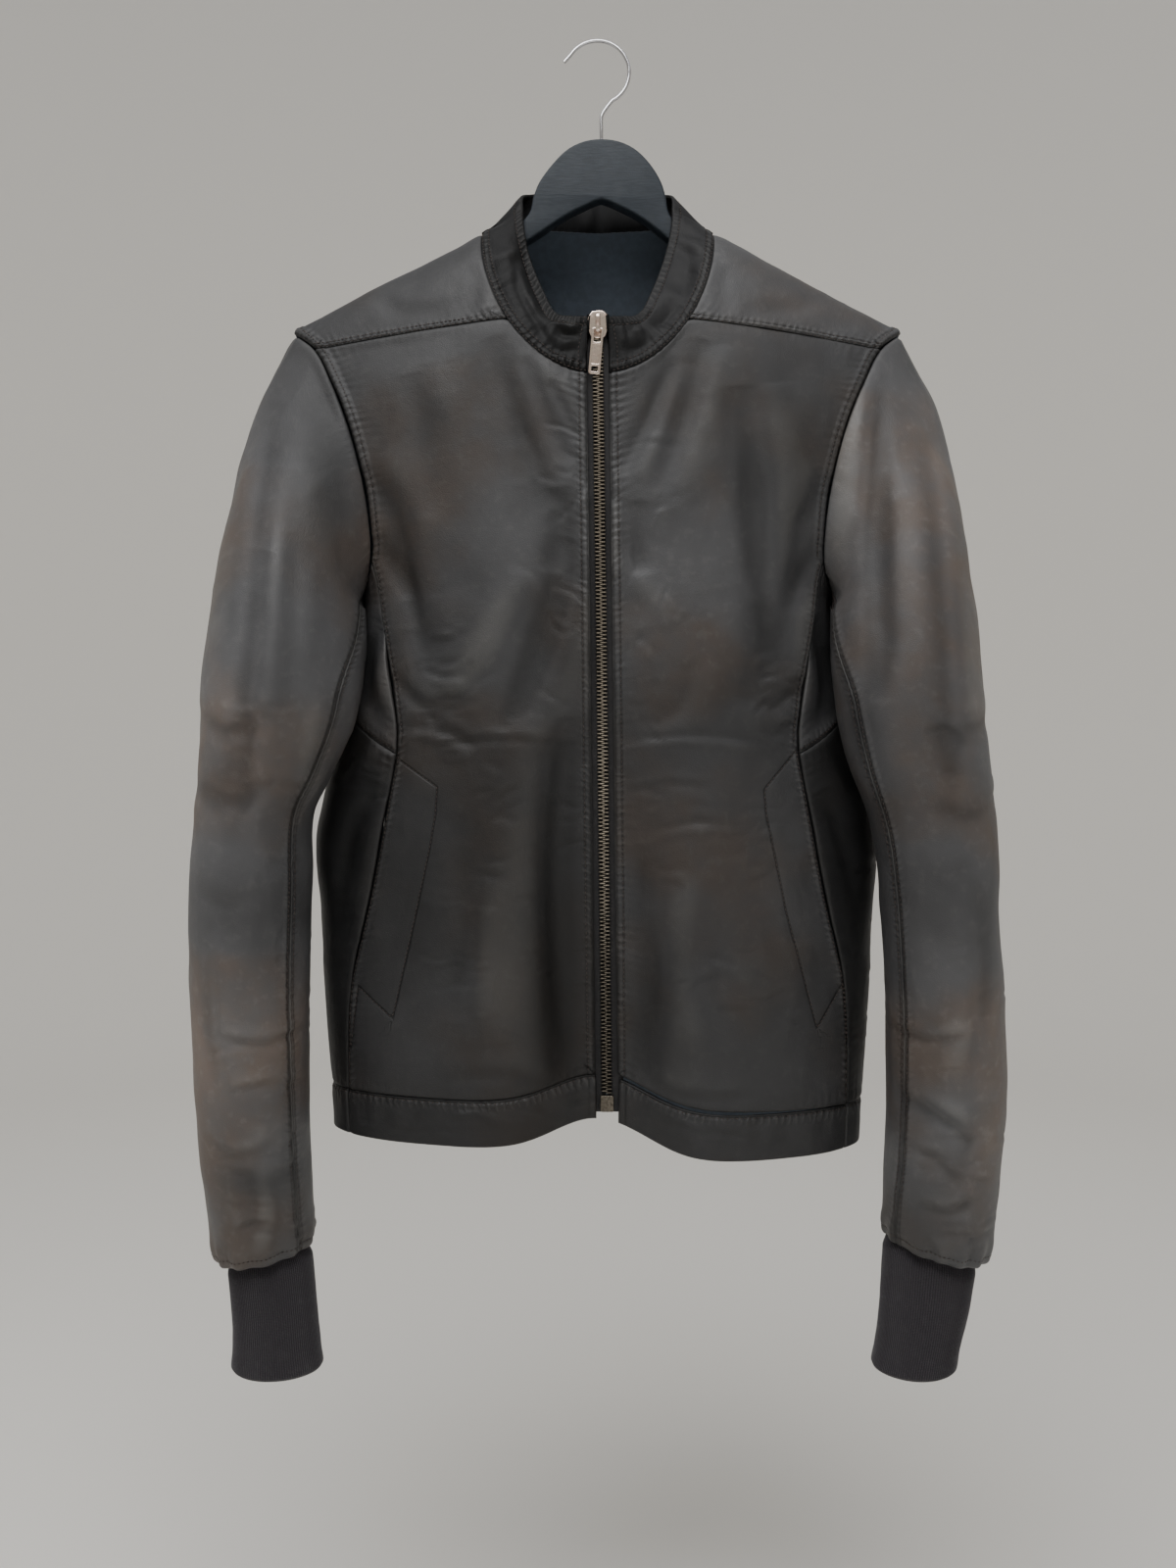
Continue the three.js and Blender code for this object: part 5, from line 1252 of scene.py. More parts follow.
def add_hem(m, thread):
    join = float(side_angle(162.5, HEM_DROP - HEM_HEIGHT / 2, -1))
    panels = []
    for side, mark in SIDES:
        edge = float(zip_x(HEM_DROP)) + side * ZIP_HALF_GAP
        start = side * math.degrees(math.asin(edge / float(value_at(HALF_WIDTH, HEM_DROP - 14.0))))
        angle = start + (join - 0.1 - start) * spread(96, 0.4)
        panels.append((f"hem_band_{mark}", f"hem_front_{mark}", hem_points(side, angle), ("left",),
                       31 + side))
    angle, sides = round_both(np.linspace(join + 0.1, 180, 110))
    panels.append(("hem_band_back", "hem_back", hem_points(sides, angle), (), 35))
    for name, node, points, free, seed in panels:
        patch = torso_patch(points)
        patch.lap("top", width=2.4, lift=0.3, depth=0.9, gather=0.3)
        patch.edge_turn("bottom", DOUBLE_LEATHER, 2.0)
        for edge in ("left", "right"):
            if edge in free:
                patch.edge_turn(edge, DOUBLE_LEATHER)
                patch.stitch_dent(edge, 5)
            else:
                patch.tuck(edge, gather=0.15, depth=0.9)
        patch.settle("top", reach=9)
        patch.drape(0.8)
        low, high = patch.place.reshape(-1, 2).min(0), patch.place.reshape(-1, 2).max(0)
        patch.small_creases(seed, 18, (low + 6, high - 8), depth=0.4)
        d, s, _ = patch.near("top")
        patch.height += 0.4 * np.sin(s * 2 * math.pi / 21 + 2 * noise(patch.p, 40, 14)) * bell(d - 10, 9)
        # the band is painted darker than the panels above it, and darker on the left: painted shade low on
        # the jacket
        patch.tone *= mix(0.42, 0.60, smooth_step(-60, 60, patch.place[..., 0]))
        piece = shell(name, [patch], DOUBLE_LEATHER, m["leather"], m["lining"])
        dress(piece, node)
        thread.along(patch, "top", 1.7)


# ---------------------------------------------------------------- collar
COLLAR_FOLDS = [
    ([(-49, 138), (-45, 168), (-31, 205)], 1.7, 4.5, -0.6),
    ([(-55, 152), (-50, 184), (-30, 220)], 1.1, 3, 0.6),
    ([(-31, 206), (-22, 212), (-12, 213)], 1.1, 3, 0.6), ([(-36, 218), (-24, 224), (-13, 222)], 0.8, 3, -0.6),
    ([(56, 142), (59, 165), (52, 190)], 0.8, 5, 0.6), ([(34, 209), (44, 200), (51, 186)], 0.7, 5, 0.6),
    ([(14, 222), (24, 222), (34, 214)], 0.8, 4, 0.6)]


def add_collar(m, thread):
    angle, side = round_both(ZIP_ANGLE + (180 - ZIP_ANGLE) * np.linspace(0, 1, 170))
    seam = torso(neck_x(angle), neck_drop(angle), np.where(angle < 90, -1, 1))
    edge = through(COLLAR_EDGE, angle) * (1, 1, -1)
    share = -0.01 + 1.01 * spread(34, 0.35)[:, None, None]
    points = mix(seam[None], edge[None], share)
    points[..., 0] *= side
    points[:, 0, 0], points[:, -1, 0] = -ZIP_HALF_GAP, ZIP_HALF_GAP
    patch = Patch(points, points * (0, 0, 1) - (0, 0, 10))
    patch.lap("top", width=6.8, lift=0.6, gather=0.5)
    patch.edge_turn("bottom", DOUBLE_LEATHER)
    patch.stitch_dent("bottom", 6.4, depth=0.4)
    for edge_name in ("left", "right"):
        patch.edge_turn(edge_name, DOUBLE_LEATHER)
        patch.stitch_dent(edge_name, 5.6, depth=0.4)
        d = patch.off[edge_name]
        patch.height -= 0.5 * bell(d - 13.5, 0.9)
    patch.seam = np.minimum(patch.seam, patch.off["bottom"] + 0.2)
    patch.drape(0.6)
    up = patch.off["bottom"]
    rest = smooth_step(3, 12, up) * smooth_step(2, 12, patch.off["top"])
    s = np.broadcast_to(patch.run["top"], up.shape)
    waves = np.sin(s * 2 * math.pi / 27 + 3 * noise(patch.p, 40, 15)) + 0.6 * np.sin(s * 2 * math.pi / 15)
    patch.height += 0.45 * waves * rest
    patch.warm -= 0.6
    # the waves also go to the colour: painted highlight on their tops and painted shade between them
    patch.crest += 0.2 * waves * rest
    patch.folds(COLLAR_FOLDS, face=-1)
    patch.small_creases(51, 14, ((-50, 160), (-14, 215)), -1, length=16, slope=0.5)
    patch.small_creases(52, 8, ((14, 190), (50, 215)), -1, length=16, slope=0.5)
    # the stand is darker than the body; painted shade also makes its front half darker than its back, its
    # left darker than its right, and its zip ends darker still
    patch.tone *= mix(0.20, 0.42, smooth_step(-20, 20, patch.place[..., 0]))
    patch.tone = mix(patch.tone, 0.8, smooth_step(-0.1, 0.5, patch.n[..., 1]))
    patch.tone *= 1 - 0.66 * np.exp(-(np.minimum(patch.off["left"], patch.off["right"]) / 26) ** 2)
    # the inside of the stand is a facing of near-black leather, painted so dark for the shade inside the neck
    piece = shell("collar_stand", [patch], DOUBLE_LEATHER, m["collar"], m["facing"])
    dress(piece, "collar")
    thread.along(patch, "top", 1.2)
    thread.along(patch, "top", 5.9)
    thread.along(patch, "bottom", 6.4)
    for edge_name in ("left", "right"):
        thread.along(patch, edge_name, 5.6)


# ---------------------------------------------------------------- sleeves and cuffs
def tube(edges, front_back, angle, drop, side):
    """Angle 0 is the side next to the torso, 90 the front and 180 the outside."""
    out, inner = np.moveaxis(through(edges[side], drop), -1, 0)
    centre, half = np.moveaxis(through(front_back, drop), -1, 0)
    a = np.radians(angle)
    return np.stack([side * ((out + inner) / 2 - np.cos(a) * (out - inner) / 2), centre - np.sin(a) * half,
                     -np.asarray(drop, float)], -1)


def sleeve_points(angle, t, side):
    """t runs from 0 to 1 over the cap and from 1 to 2 below it."""
    lean = ((1 + np.cos(np.radians(angle))) / 2) ** 2
    cap_end = CAP_END + UNDERARM_DIP * lean
    low = tube(SLEEVE_EDGES, SLEEVE_FRONT_BACK, angle, mix(cap_end, SLEEVE_END, np.maximum(t - 1, 0)), side)
    wrapped = (angle + 180) % 360 - 180
    face = np.where(wrapped >= 0, -1, 1)
    f = 1 - np.abs(wrapped) / 180
    spot = armhole(f, face)
    start = torso(side * spot[..., 0], spot[..., 1], face)
    start[..., 1] = np.where((f <= 0) | (f >= 1), 0, start[..., 1])
    end = tube(SLEEVE_EDGES, SLEEVE_FRONT_BACK, angle, cap_end, side)
    reach = np.linalg.norm(end - start, axis=-1, keepdims=True) * 0.45
    across, along = np.sin(np.radians(wrapped)), np.cos(np.radians(wrapped))
    leave = np.stack([side * (mix(0.12, 0.55, (1 - along) / 2) + 0.5 * np.abs(across)), -0.45 * across,
                      -0.45 - 0.5 * np.abs(along)], -1)
    leave = leave / np.linalg.norm(leave, axis=-1, keepdims=True) * reach
    onward = tube(SLEEVE_EDGES, SLEEVE_FRONT_BACK, angle, cap_end + 6, side) - end
    arrive = end - onward / np.linalg.norm(onward, axis=-1, keepdims=True) * reach * 0.9
    u = np.clip(t, 0, 1)[..., None]
    s = 1 - u
    high = s**3 * start + 3 * s * s * u * (start + leave) + 3 * s * u * u * arrive + u**3 * end
    return np.where(t[..., None] >= 1, low, high)


SLEEVE_FOLDS = {
    LEFT: [([(-214, 262), (-214, 400), (-221, 540)], 1.3, 9, 0.5),
           ([(-196, 300), (-189, 430), (-199, 560)], 1.0, 8, 0.5),
           ([(-254, 452), (-224, 470), (-196, 460)], 0.9, 6, 0.6),
           ([(-256, 500), (-222, 514), (-197, 498)], 0.8, 6, -0.6),
           ([(-252, 560), (-228, 574), (-202, 566)], 0.5, 6, 0.5),
           ([(-236, 600), (-240, 650), (-232, 700)], 0.8, 7, 0.5),
           ([(-236, 654), (-207, 661), (-180, 654)], 0.8, 3, 0.7),
           ([(-226, 691), (-204, 687), (-187, 692)], 0.7, 3, 0.6),
           ([(-219, 738), (-217, 765), (-224, 796)], 0.9, 5, 0.7),
           ([(-206, 746), (-200, 770), (-206, 800)], 0.6, 4, -0.6),
           ([(-236, 762), (-230, 785), (-238, 806)], 0.6, 4, 0.6),
           ([(-246, 722), (-222, 732), (-200, 724)], 0.8, 4, 0.6)],
    RIGHT: [([(184, 232), (177, 330), (170, 450)], 2.0, 9, -0.6),
            ([(214, 270), (212, 400), (216, 520)], 1.1, 9, 0.5),
            ([(198, 466), (224, 472), (252, 456)], 0.8, 6, 0.6),
            ([(196, 512), (226, 520), (254, 506)], 0.7, 6, 0.6),
            ([(232, 560), (238, 620), (230, 690)], 0.9, 8, -0.5),
            ([(184, 655), (205, 659), (224, 653)], 0.8, 3, 0.7),
            ([(189, 696), (212, 708), (233, 724)], 1.1, 4.5, 0.7),
            ([(195, 728), (210, 735), (224, 749)], 0.9, 4, 0.6),
            ([(201, 766), (220, 769), (238, 761)], 1.0, 4, 0.7),
            ([(206, 786), (212, 797), (210, 808)], 0.8, 3, 0.6),
            ([(232, 780), (238, 796), (234, 808)], 0.9, 3, 0.6),
            ([(240, 700), (226, 740), (232, 770)], 0.7, 6, 0.5)]}
SLEEVE_BACK_FOLDS = [
    ([(214, 280), (218, 390), (222, 480)], 1.2, 10, 0.5), ([(190, 432), (220, 446), (250, 438)], 1.3, 6, 0.6),
    ([(192, 470), (222, 482), (252, 468)], 1.4, 6, 0.6), ([(196, 508), (224, 516), (252, 510)], 1.1, 6, 0.6),
    ([(232, 540), (236, 620), (230, 700)], 0.9, 9, 0.5), ([(192, 660), (218, 668), (250, 660)], 0.8, 4, 0.6),
    ([(196, 716), (220, 728), (246, 718)], 0.9, 4, 0.6), ([(208, 750), (212, 776), (206, 802)], 1.2, 5, 0.6),
    ([(236, 756), (232, 780), (238, 804)], 1.0, 5, 0.6)]
# painted light and shade at each drop down the sleeves
SLEEVE_LIGHT_AND_SHADE = {
    LEFT: [[200, 1.2], [285, 1.55], [350, 1.5], [387, 1.45], [459, 2.2], [500, 2.0], [530, 1.7], [602, 1.6],
           [645, 2.3], [680, 2.3], [710, 1.9], [750, 1.5], [811, 1.4]],
    RIGHT: [[200, 1.3], [285, 1.8], [350, 1.7], [387, 1.5], [530, 1.35], [566, 1.2], [602, 1.45], [645, 1.75],
            [710, 1.75], [745, 1.6], [781, 1.25], [811, 1.2]]}


def sleeve_end_rise(angle, side):
    """The sleeve ends a little higher on the side next to the torso."""
    return (9 if side == LEFT else 15) * ((1 + np.cos(np.radians(angle))) / 2) ** 1.5


def sleeve_patch(angle, side):
    cap, below = 87, 203                # rows of the grid over the armhole and below it
    t = np.concatenate([spread(cap + 1, 0.2)[:-1], 1 + spread(below, 0.25)])
    angle, t = np.broadcast_arrays(angle[None], t[:, None])
    # near the armhole the front seam swings in under the arm
    swing = np.interp(angle, [-180 * (1 - SLEEVE_BACK_SEAM), 180 * (1 - CHEST_FRONT_SEAM), OUTER_ARC],
                      [0, 21, 0])
    angle = angle - swing * (1 - smooth_step(0.98, 1.15, t))
    lean = ((1 + np.cos(np.radians(angle))) / 2) ** 2
    start = 0.0022 * (1 + 4 * lean)
    t = np.where(t < 1, start + (1 - start) * t, t)
    points = sleeve_points(angle, t, side)
    drop = -points[..., 2]
    points[..., 2] += sleeve_end_rise(angle, side) * smooth_step(SLEEVE_END - 60, SLEEVE_END, drop)
    out, inner = np.moveaxis(through(SLEEVE_EDGES[side], np.maximum(CAP_END, drop)), -1, 0)
    centre = value_at(SLEEVE_FRONT_BACK, drop)
    below_cap = np.where(drop < CAP_END, 0.6, 1)
    axis = np.stack([side * mix(170, (out + inner) / 2, below_cap), centre,
                     points[..., 2] - (1 - below_cap) * 60], -1)
    return Patch(points, axis)


def add_sleeves(m, thread):
    front_seam = 180 * (1 - CHEST_FRONT_SEAM)
    back_seam = -180 * (1 - SLEEVE_BACK_SEAM)
    gap = 0.3
    for side, mark in SIDES:
        upper = front_seam + gap + (OUTER_ARC - front_seam - 2 * gap) * spread(96, 0.3)
        under = back_seam + gap + (front_seam - back_seam - 2 * gap) * spread(56, 0.35)
        for name, node, angle, seed in (("sleeve_top", "sleeve_upper", upper, 71),
                                        ("sleeve_below", "sleeve_under", under, 75)):
            patch = sleeve_patch(angle, side)
            patch.tuck("top", gather=0.42, reach=10, depth=0.6)
            for edge in ("left", "right"):
                patch.lap(edge, width=3.8, lift=0.5, depth=0.7, gather=0.25)
                thread.along(patch, edge, 2.4, start=6)
            patch.drape(1.15)
            patch.folds(SLEEVE_FOLDS[side], face=-1)
            patch.folds([([(side * x, d) for x, d in path], depth, width, ridge)
                         for path, depth, width, ridge in SLEEVE_BACK_FOLDS], face=1)
            for face in (-1, 1):
                draw = seed + side + 4 * face
                patch.small_creases(draw, 34, ((side * 195, 430), (side * 245, 790)), face)
                patch.small_creases(draw + 9, 12, ((side * 196, 730), (side * 240, 800)), face,
                                    depth=0.6, length=20)
            # the end blouses a little over the cuff and turns in
            d = patch.off["bottom"]
            s = np.broadcast_to(patch.run["bottom"], d.shape)
            gathers = np.sin(s * 2 * math.pi / 17 + 3 * noise(patch.p, 30, 16))
            patch.height += (1.5 * bell(d - 12, 9) + 1.0 * gathers * bell(d - 3, 14)
                             - 0.5 * bell(d - 6, 0.9))
            patch.edge_turn("bottom", LEATHER, 3.2)
            # painted light and shade down each sleeve, then patches of dye and of painted light and shade
            patch.tone *= value_at(SLEEVE_LIGHT_AND_SHADE[side], patch.place[..., 1] + 14 * noise(patch.p, 50, 18))
            patch.dye_light_and_shade(SLEEVE_DYE_LIGHT_AND_SHADE[side])
            # painted light along the outer side of each sleeve, which is also a little browner
            outside = np.abs(patch.place[..., 0]) / 250
            patch.tone *= 1.12 * (1 + 0.6 * smooth_step(0.82, 1.02, outside))
            patch.warm += 0.1 + 0.3 * smooth_step(0.84, 1.0, outside)
            piece = shell(f"{name}_{mark}", [patch], LEATHER, m["leather"], m["lining"])
            dress(piece, f"{node}_{mark}")
            thread.along(patch, "bottom", 6)


def add_cuffs(m):
    for side, mark in SIDES:
        ribs, per_rib = 118, 4
        angle = np.linspace(0, 360, ribs * per_rib + 1)
        drop = mix(SLEEVE_END - 17, CUFF_END, np.linspace(0, 1, 46))
        angle, drop = np.broadcast_arrays(angle[None], drop[:, None])
        points = tube(CUFF_EDGES, CUFF_FRONT_BACK, angle, drop, side)
        points[:, -1] = points[:, 0]
        patch = Patch(points, points * (0, 0, 1) + (side * 214, -22, 0))
        patch.n[:, 0] = patch.n[:, -1] = patch.n[:, 0] + patch.n[:, -1]
        patch.n /= np.linalg.norm(patch.n, axis=-1, keepdims=True)
        rib = np.cos(np.radians(angle) * ribs)
        soft = 0.7 * noise(patch.p, 30, 20) + 0.3 * noise(patch.p, 12, 21)
        patch.height += 0.32 * rib + soft * smooth_step(0, 8, patch.off["top"]) - 0.4
        patch.height += 0.7 * bell(patch.off["bottom"] - 3, 6)
        patch.height -= 2.6 * (1 - smooth_step(0, 9, drop - SLEEVE_END + sleeve_end_rise(angle, side)))
        # the ribs also go to the knit colour: painted shade between them and painted highlight on their tops
        patch.crest += 0.35 * rib
        patch.edge_turn("bottom", RIB_KNIT, 2.2)
        piece = shell(f"knit_cuff_{mark}", [patch], RIB_KNIT, m["knit"], m["knit"])
        dress(piece, f"cuff_{mark}")


# ---------------------------------------------------------------- zip
TAPE_WIDTH, CHAIN_HALF, CHAIN_DEPTH = 11, 3.8, 3.2
ZIP_BEHIND = DOUBLE_LEATHER + LAYER_GAP
SLIDER_CENTRE, SLIDER_WIDTH, SLIDER_HEIGHT, SLIDER_PLATE = 206.5, 13, 17, 1.8
TOOTH_PITCH = 2.45


def front_line(drop):
    """y of the front edges at the zip, the collar included."""
    seam = float(neck_drop(0))
    at_seam = torso(0, seam, -1)[1]
    collar = mix(at_seam, COLLAR_EDGE[0][2], (seam - drop) / (seam - COLLAR_EDGE[0][3]))
    return np.where(drop >= seam, torso(zip_x(drop), drop, -1)[..., 1], collar)


def zip_bottom():
    return float(hem_edge(0, -1)) - 1.5


def add_tapes(m):
    for side, mark in SIDES:
        drop = np.linspace(ZIP_TOP + 1, zip_bottom() - 2, 260)[:, None]
        across = (side * np.linspace(0.3, TAPE_WIDTH, 12))[None]
        points = np.stack(np.broadcast_arrays(zip_x(drop) + across, front_line(drop) + ZIP_BEHIND, -drop), -1)
        patch = Patch(points, points + (0, 20, 0))
        patch.height += 0.08 * np.sin(drop * 2 * math.pi / 24)
        piece = shell(f"zip_band_{mark}", [patch], TAPE, m["tape"], m["tape"])
        dress(piece, f"zip_tape_{mark}")


TOOTH = [(-3.5, -0.4), (-1.2, -0.48), (0.5, -0.44), (1.05, -0.2), (1.05, 0.2), (0.5, 0.44), (-1.2, 0.48),
         (-3.5, 0.4)]


def add_teeth(m):
    """Two rows of metal teeth, half a pitch apart, that close into one chain."""
    outline = np.array(TOOTH)
    count = len(outline)
    rings = [(1.0, CHAIN_DEPTH), (1.0, 0.55), (0.78, 0.1)]
    verts, faces = [], []
    start, end = SLIDER_CENTRE + SLIDER_HEIGHT / 2 + 1.2, zip_bottom() - 14.5
    for side in (LEFT, RIGHT):
        for drop in np.arange(start + (0 if side < 0 else TOOTH_PITCH / 2), end, TOOTH_PITCH):
            x, y = float(zip_x(drop)), float(front_line(drop)) + ZIP_BEHIND - LAYER_GAP - CHAIN_DEPTH + 0.1
            base = len(verts)
            for scale, depth in rings:
                for px, pz in outline:
                    px, pz = (px + 1.2) * scale - 1.2, pz * scale
                    verts.append((x - side * px, y + depth, -drop + pz))
            quads = [(r * count + k, r * count + (k + 1) % count, (r + 1) * count + (k + 1) % count,
                      (r + 1) * count + k) for r in range(len(rings) - 1) for k in range(count)]
            top = (len(rings) - 1) * count
            quads += [tuple(top + k for k in cap) for cap in ((0, 1, 6, 7), (1, 2, 5, 6), (2, 3, 4, 5))]
            quads += [(7, 6, 1, 0), (6, 5, 2, 1), (5, 4, 3, 2)]
            for quad in quads:
                faces.append(tuple(base + k for k in quad[::side]))
    obj = build_mesh("zip_teeth", verts, faces, [m["brass"]])
    sharpen(obj, 35)
    stands_for(obj, "jacket", "zip_chain")


def sharpen(obj, degrees):
    obj.data.set_sharp_from_angle(angle=math.radians(degrees))


def to_piece(name, curve, material):
    """Turns a curve drawn in millimetres into a mesh piece, still in millimetres."""
    maker = add_object("maker", curve)
    graph = bpy.context.evaluated_depsgraph_get()
    mesh = bpy.data.meshes.new_from_object(maker.evaluated_get(graph))
    bpy.data.objects.remove(maker)
    bpy.data.curves.remove(curve)
    mesh.name = name
    mesh.materials.clear()
    mesh.materials.append(material)
    mesh.shade_smooth()
    return add_object(name, mesh)


def add_line(curve, points, closed=False):
    spline = curve.splines.new("POLY")
    spline.points.add(len(points) - 1)
    for point, place in zip(spline.points, points):
        point.co = (*place, 1)
    spline.use_cyclic_u = closed


def plate(name, outlines, depth, bevel, material, steps=3):
    """A bevelled plate from closed outlines in x and z, centred on y = 0; later outlines are holes."""
    curve = bpy.data.curves.new(name, "CURVE")
    curve.dimensions, curve.fill_mode = "2D", "BOTH"
    curve.extrude, curve.bevel_depth, curve.bevel_resolution = depth / 2 - bevel, bevel, steps
    curve.offset = -bevel
    for outline in outlines:
        add_line(curve, [(x, z, 0) for x, z in outline], closed=True)
    obj = to_piece(name, curve, material)
    obj.data.transform(mathutils.Matrix.Rotation(math.pi / 2, 4, "X"))
    weld_doubles(obj.data)
    sharpen(obj, 50)
    return obj


def weld_doubles(mesh):
    work = bmesh.new()
    work.from_mesh(mesh)
    bmesh.ops.remove_doubles(work, verts=work.verts, dist=1e-3)
    bmesh.ops.recalc_face_normals(work, faces=work.faces)
    work.to_mesh(mesh)
    work.free()


def wire(name, points, radius, material):
    curve = bpy.data.curves.new(name, "CURVE")
    curve.dimensions = "3D"
    curve.bevel_depth, curve.bevel_resolution, curve.use_fill_caps = radius, 6, True
    add_line(curve, points)
    return to_piece(name, curve, material)


def shift_by(offset):
    return mathutils.Matrix.Translation(offset)


def settle(obj, matrix=None):
    """From the piece's own millimetres to its place in metres."""
    if matrix is not None:
        obj.data.transform(matrix)
    obj.data.transform(mathutils.Matrix.Scale(MM, 4))


def rounded_box(width, height, radius, z=0.0):
    points = []
    for cx, cz, start in ((1, 1, 0), (-1, 1, 90), (-1, -1, 180), (1, -1, 270)):
        for a in np.radians(np.linspace(start, start + 90, 5)):
            points.append((cx * (width / 2 - radius) + radius * math.cos(a),
                           z + cz * (height / 2 - radius) + radius * math.sin(a)))
    return points


def join(name, parts):
    """One mesh from several pieces that touch."""
    work = bmesh.new()
    for part in parts:
        work.from_mesh(part.data)
    mesh = parts[0].data
    work.to_mesh(mesh)
    work.free()
    for part in parts[1:]:
        bpy.data.objects.remove(part)
    parts[0].name = mesh.name = name
    return parts[0]


PLATE_Y = float(front_line(SLIDER_CENTRE)) + 0.2
TAB_LENGTH, TAB_WIDTH, TAB_THICKNESS, TAB_WINDOW, TAB_LEAN = 29, 7.6, 1.5, 4.4, 5
HINGE_Y, HINGE_DROP = PLATE_Y - SLIDER_PLATE - 2.2, SLIDER_CENTRE + 6.5 - 1.2 - 1.25


def add_slider(m):
    w, h = SLIDER_WIDTH / 2, SLIDER_HEIGHT / 2
    corners = [(-w * 0.55, h), (w * 0.55, h), (w, h * 0.5), (w * 0.9, -h * 0.5), (w * 0.58, -h),
               (-w * 0.58, -h), (-w * 0.9, -h * 0.5), (-w, h * 0.5)]
    shield = smooth_path([*corners, corners[0]], 5)[:-1]
    front = plate("slider_shield", [shield], SLIDER_PLATE, 0.75, m["nickel"], 4)
    settle(front, shift_by((0, PLATE_Y - SLIDER_PLATE / 2, -SLIDER_CENTRE)))
    outer_y = PLATE_Y - SLIDER_PLATE
    reach, top, bottom = 4.4 - 0.6, SLIDER_CENTRE - 5.6, SLIDER_CENTRE + 5.9
    span = [(0, outer_y - out, -drop) for out, drop in (
        (-0.4, top), (0.72 * reach, top + 0.2), (reach, top + 1.6), (reach, (top + bottom) / 2),
        (reach, bottom - 0.9), (0.75 * reach, bottom), (-0.4, bottom))]
    bridge = wire("slider_bridge", smooth_path(span, 6), 0.6, m["nickel"])
    settle(bridge, mathutils.Matrix.Diagonal((2.5, 1, 1, 1)))
    post = plate("slider_post", [rounded_box(0.35, 5, 0.15)], 3.4, 0.1, m["nickel"], 1)
    settle(post, shift_by((0, PLATE_Y + 1.5, -(SLIDER_CENTRE - h + 3.5))))
    body = join("slider_body", [front, bridge, post])
    stands_for(body, "jacket", "zip_slider")

    frame_outline = rounded_box(TAB_WIDTH, TAB_LENGTH + TAB_THICKNESS / 2, 1.5,
                                z=-(TAB_LENGTH - TAB_THICKNESS / 2) / 2 - 0.02)
    window = rounded_box(TAB_WINDOW, 8, 0.9, z=-4.4)
    panel = rounded_box(4.9, 12.6, 0.7, z=-16.0)
    eye = rounded_box(4, 3.4, 0.6, z=-TAB_LENGTH + 3.4)
    rim = plate("tab_rim", [frame_outline, window, panel, eye], TAB_THICKNESS, 0.34, m["nickel"])
    web = plate("tab_web", [rounded_box(5.6, 13.2, 0.7, z=-16.0)], 0.7, 0.1, m["nickel"], 1)
    place = (shift_by((0, HINGE_Y, -HINGE_DROP))
             @ mathutils.Matrix.Rotation(math.radians(TAB_LEAN), 4, "Y"))
    settle(rim, place)
    settle(web, place)
    tab = join("pull_tab_frame", [rim, web])
    stands_for(tab, "pull_tab", "zip_pull_tab")

    low = zip_bottom()
    box = plate("zip_stop", [rounded_box(2 * CHAIN_HALF + 1.2, 10.6, 1.0)], CHAIN_DEPTH, 0.5, m["brass"])
    x, y = float(zip_x(low)), float(front_line(low - 8)) + ZIP_BEHIND - LAYER_GAP - CHAIN_DEPTH / 2 + 0.1
    settle(box, shift_by((x, y, -(low - 8))))
    stands_for(box, "jacket", "zip_end_box")


# ---------------------------------------------------------------- hanger
HANGER_X, HANGER_THICKNESS, HANGER_BACK, HANGER_APEX = 2.7, 11, 0.5, 67
ARM_TOP = [(0, 67), (12, 68.6), (23, 74), (33, 84), (41, 96), (44.5, 106), (47, 117), (58, 129), (77, 142),
           (120, 166), (176, 197)]
ARM_BELOW = [(171, 209), (118, 182), (78, 158), (46, 134), (24, 118.5), (8, 110.5)]


def add_hanger(m):
    top = [(-x, d) for x, d in ARM_TOP[:0:-1]] + ARM_TOP
    below = ARM_BELOW + [(0, 107.5)] + [(-x, d) for x, d in ARM_BELOW[::-1]]
    tip = [(178, 201), (177, 206)]
    outline = np.concatenate([smooth_path(top, 6), tip, smooth_path(below, 6),
                              [(-x, d) for x, d in tip[::-1]]])
    shift = HANGER_X * (1 - smooth_step(30, 60, np.abs(outline[:, 0])))
    outline = np.stack([outline[:, 0] + shift, -outline[:, 1]], -1)
    body = plate("hanger_wood", [outline], HANGER_THICKNESS, 1.5, m["wood"], 4)
    settle(body, shift_by((0, HANGER_BACK, 0)))
    stands_for(body, "jacket", "hanger_body")

    radius, wire_radius = 21.5, 1.2
    centre = wire_radius - radius
    a = np.radians(np.linspace(146, -62, 30))
    bow = np.stack([radius * np.cos(a), 0 * a, centre + radius * np.sin(a)], -1)
    path = np.concatenate([[(-22.4, 0, centre + 7)], bow,
                           [(HANGER_X + 1.2, 0, -47.5), (HANGER_X, 0, -51), (HANGER_X, 0, -60),
                            (HANGER_X, 0, -HANGER_APEX - 1)]])
    hook = wire("hook_wire", smooth_path(path, 4), wire_radius, m["chrome"])
    settle(hook)
    stands_for(hook, "jacket", "hanger_hook")


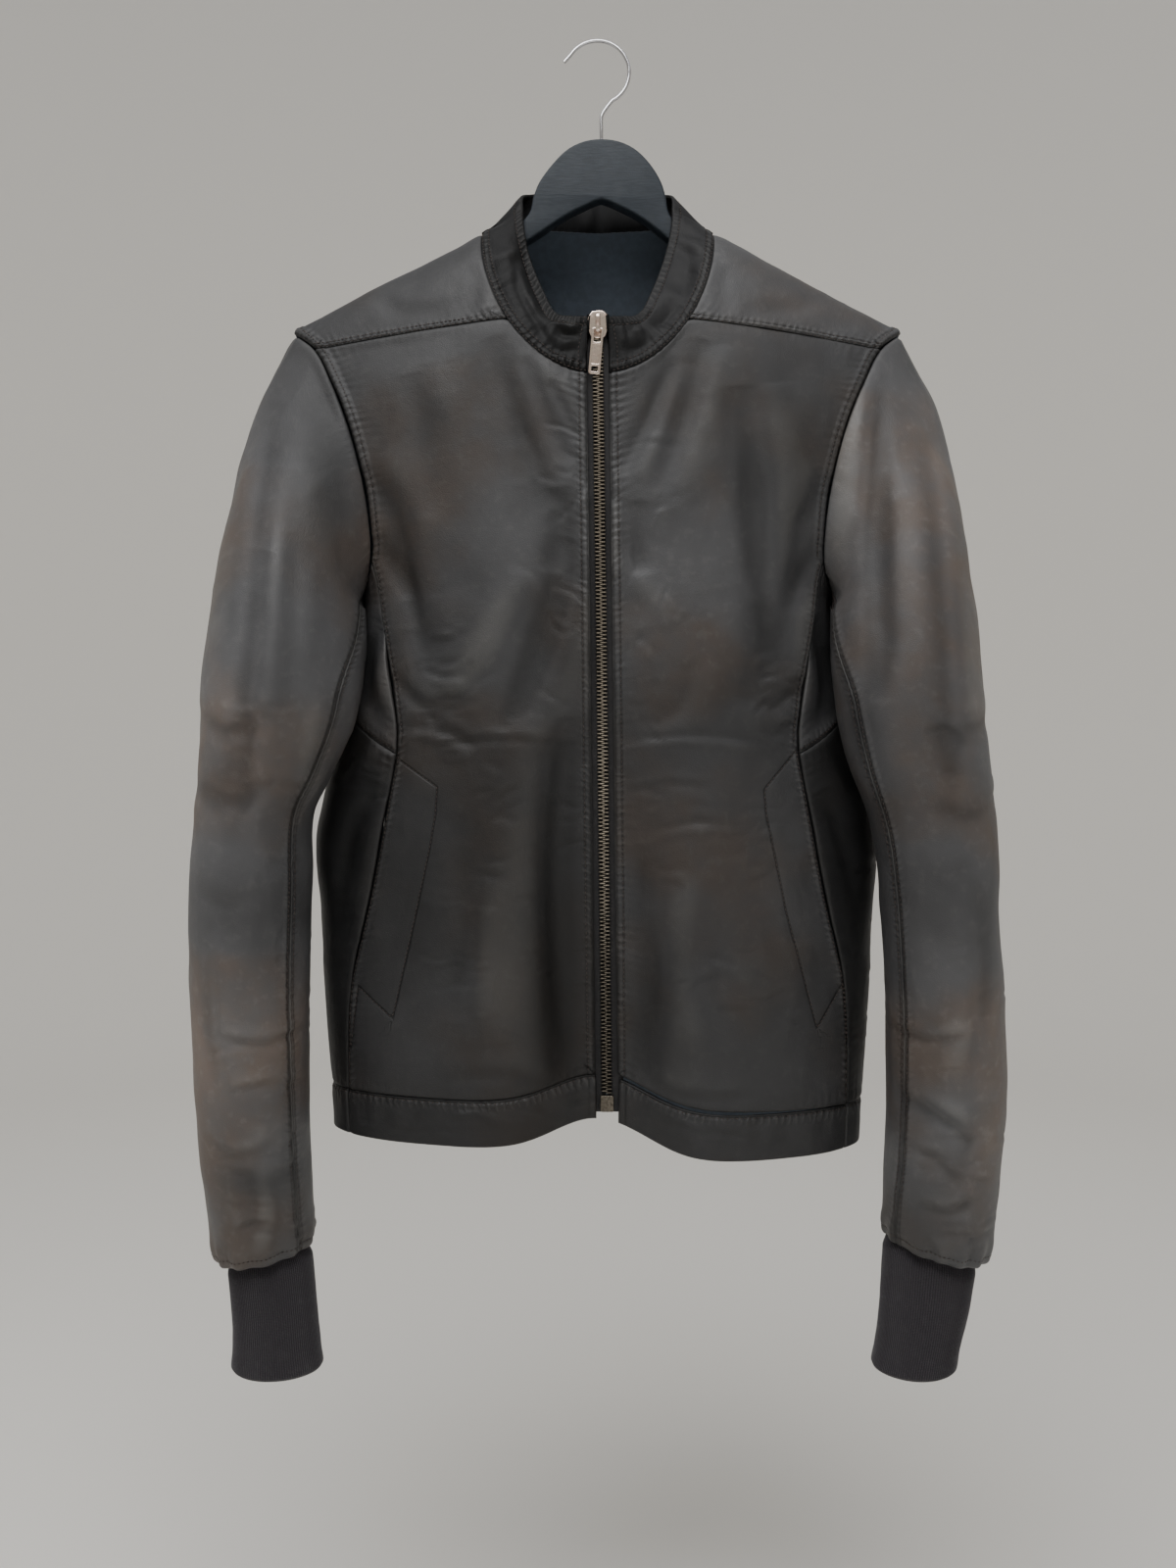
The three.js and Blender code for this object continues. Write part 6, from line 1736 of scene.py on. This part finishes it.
def main():
    add_camera()
    add_stage()
    world = bpy.data.worlds.new("studio")
    bpy.context.scene.world = world
    world.use_nodes = True
    sky = world.node_tree.nodes["Background"].inputs
    sky["Color"].default_value, sky["Strength"].default_value = (0.985, 0.99, 1.0, 1), 0.52
    add_light("sky_panel", (-0.25, -1.1, 1.3), (0, 0, -0.4), (1.6, 1.1), 50)
    add_light("low_fill", (0.5, -2.2, -0.9), (0, 0, -0.6), (1.6, 1.0), 5.5)
    m = {"leather": leather("worn_leather"),
         # a darker copy of the leather: painted shade for the side panels, gussets and pocket facings
         "dark_leather": leather("dark_leather", grey=(0.013, 0.013, 0.0135), brown=(0.011, 0.009, 0.008),
                                 pale_wear_and_highlight=(0.030, 0.029, 0.028)),
         "collar": leather("collar_leather", shine=0.13),
         # near-black facing leather, much of its darkness painted shade inside the neck
         "facing": leather("shaded_collar_facing", grey=(0.0035, 0.0036, 0.0042), brown=(0.003, 0.003, 0.0032),
                           pale_wear_and_highlight=(0.006, 0.006, 0.0065), shine=0.12),
         "lining": plain_cloth("lining_satin", (0.036, 0.052, 0.075), pitch=0.5, roughness=0.5,
                               Sheen_Weight=0.05),
         "tape": plain_cloth("zip_tape_weave", (0.019, 0.018, 0.019), pitch=0.9, depth=0.1, roughness=0.85),
         "thread": plain_cloth("thread", (0.040, 0.028, 0.024), pitch=0.4, depth=0.03, roughness=0.8),
         "knit": knit(),
         # the lower part of the chain gets painted shade
         "brass": metal("aged_brass", (0.33, 0.29, 0.235), (0.08, 0.068, 0.052), 0.28, 0.5,
                        grime=0.7, size=1.6, painted_shade_heights=(-660, -480)),
         "nickel": metal("rose_nickel", (0.80, 0.69, 0.61), (0.34, 0.22, 0.17), 0.12, 0.3,
                         grime=0.75, size=6),
         "chrome": metal("bright_wire", (0.52, 0.52, 0.54), (0.3, 0.3, 0.31), 0.1, 0.24),
         "wood": painted_wood()}
    thread = Thread()
    add_fronts(m, thread)
    add_sides(m, thread)
    add_back(m, thread)
    add_hem(m, thread)
    add_collar(m, thread)
    add_sleeves(m, thread)
    add_cuffs(m)
    add_tapes(m)
    add_teeth(m)
    add_slider(m)
    add_hanger(m)
    thread.build(m["thread"])


main()
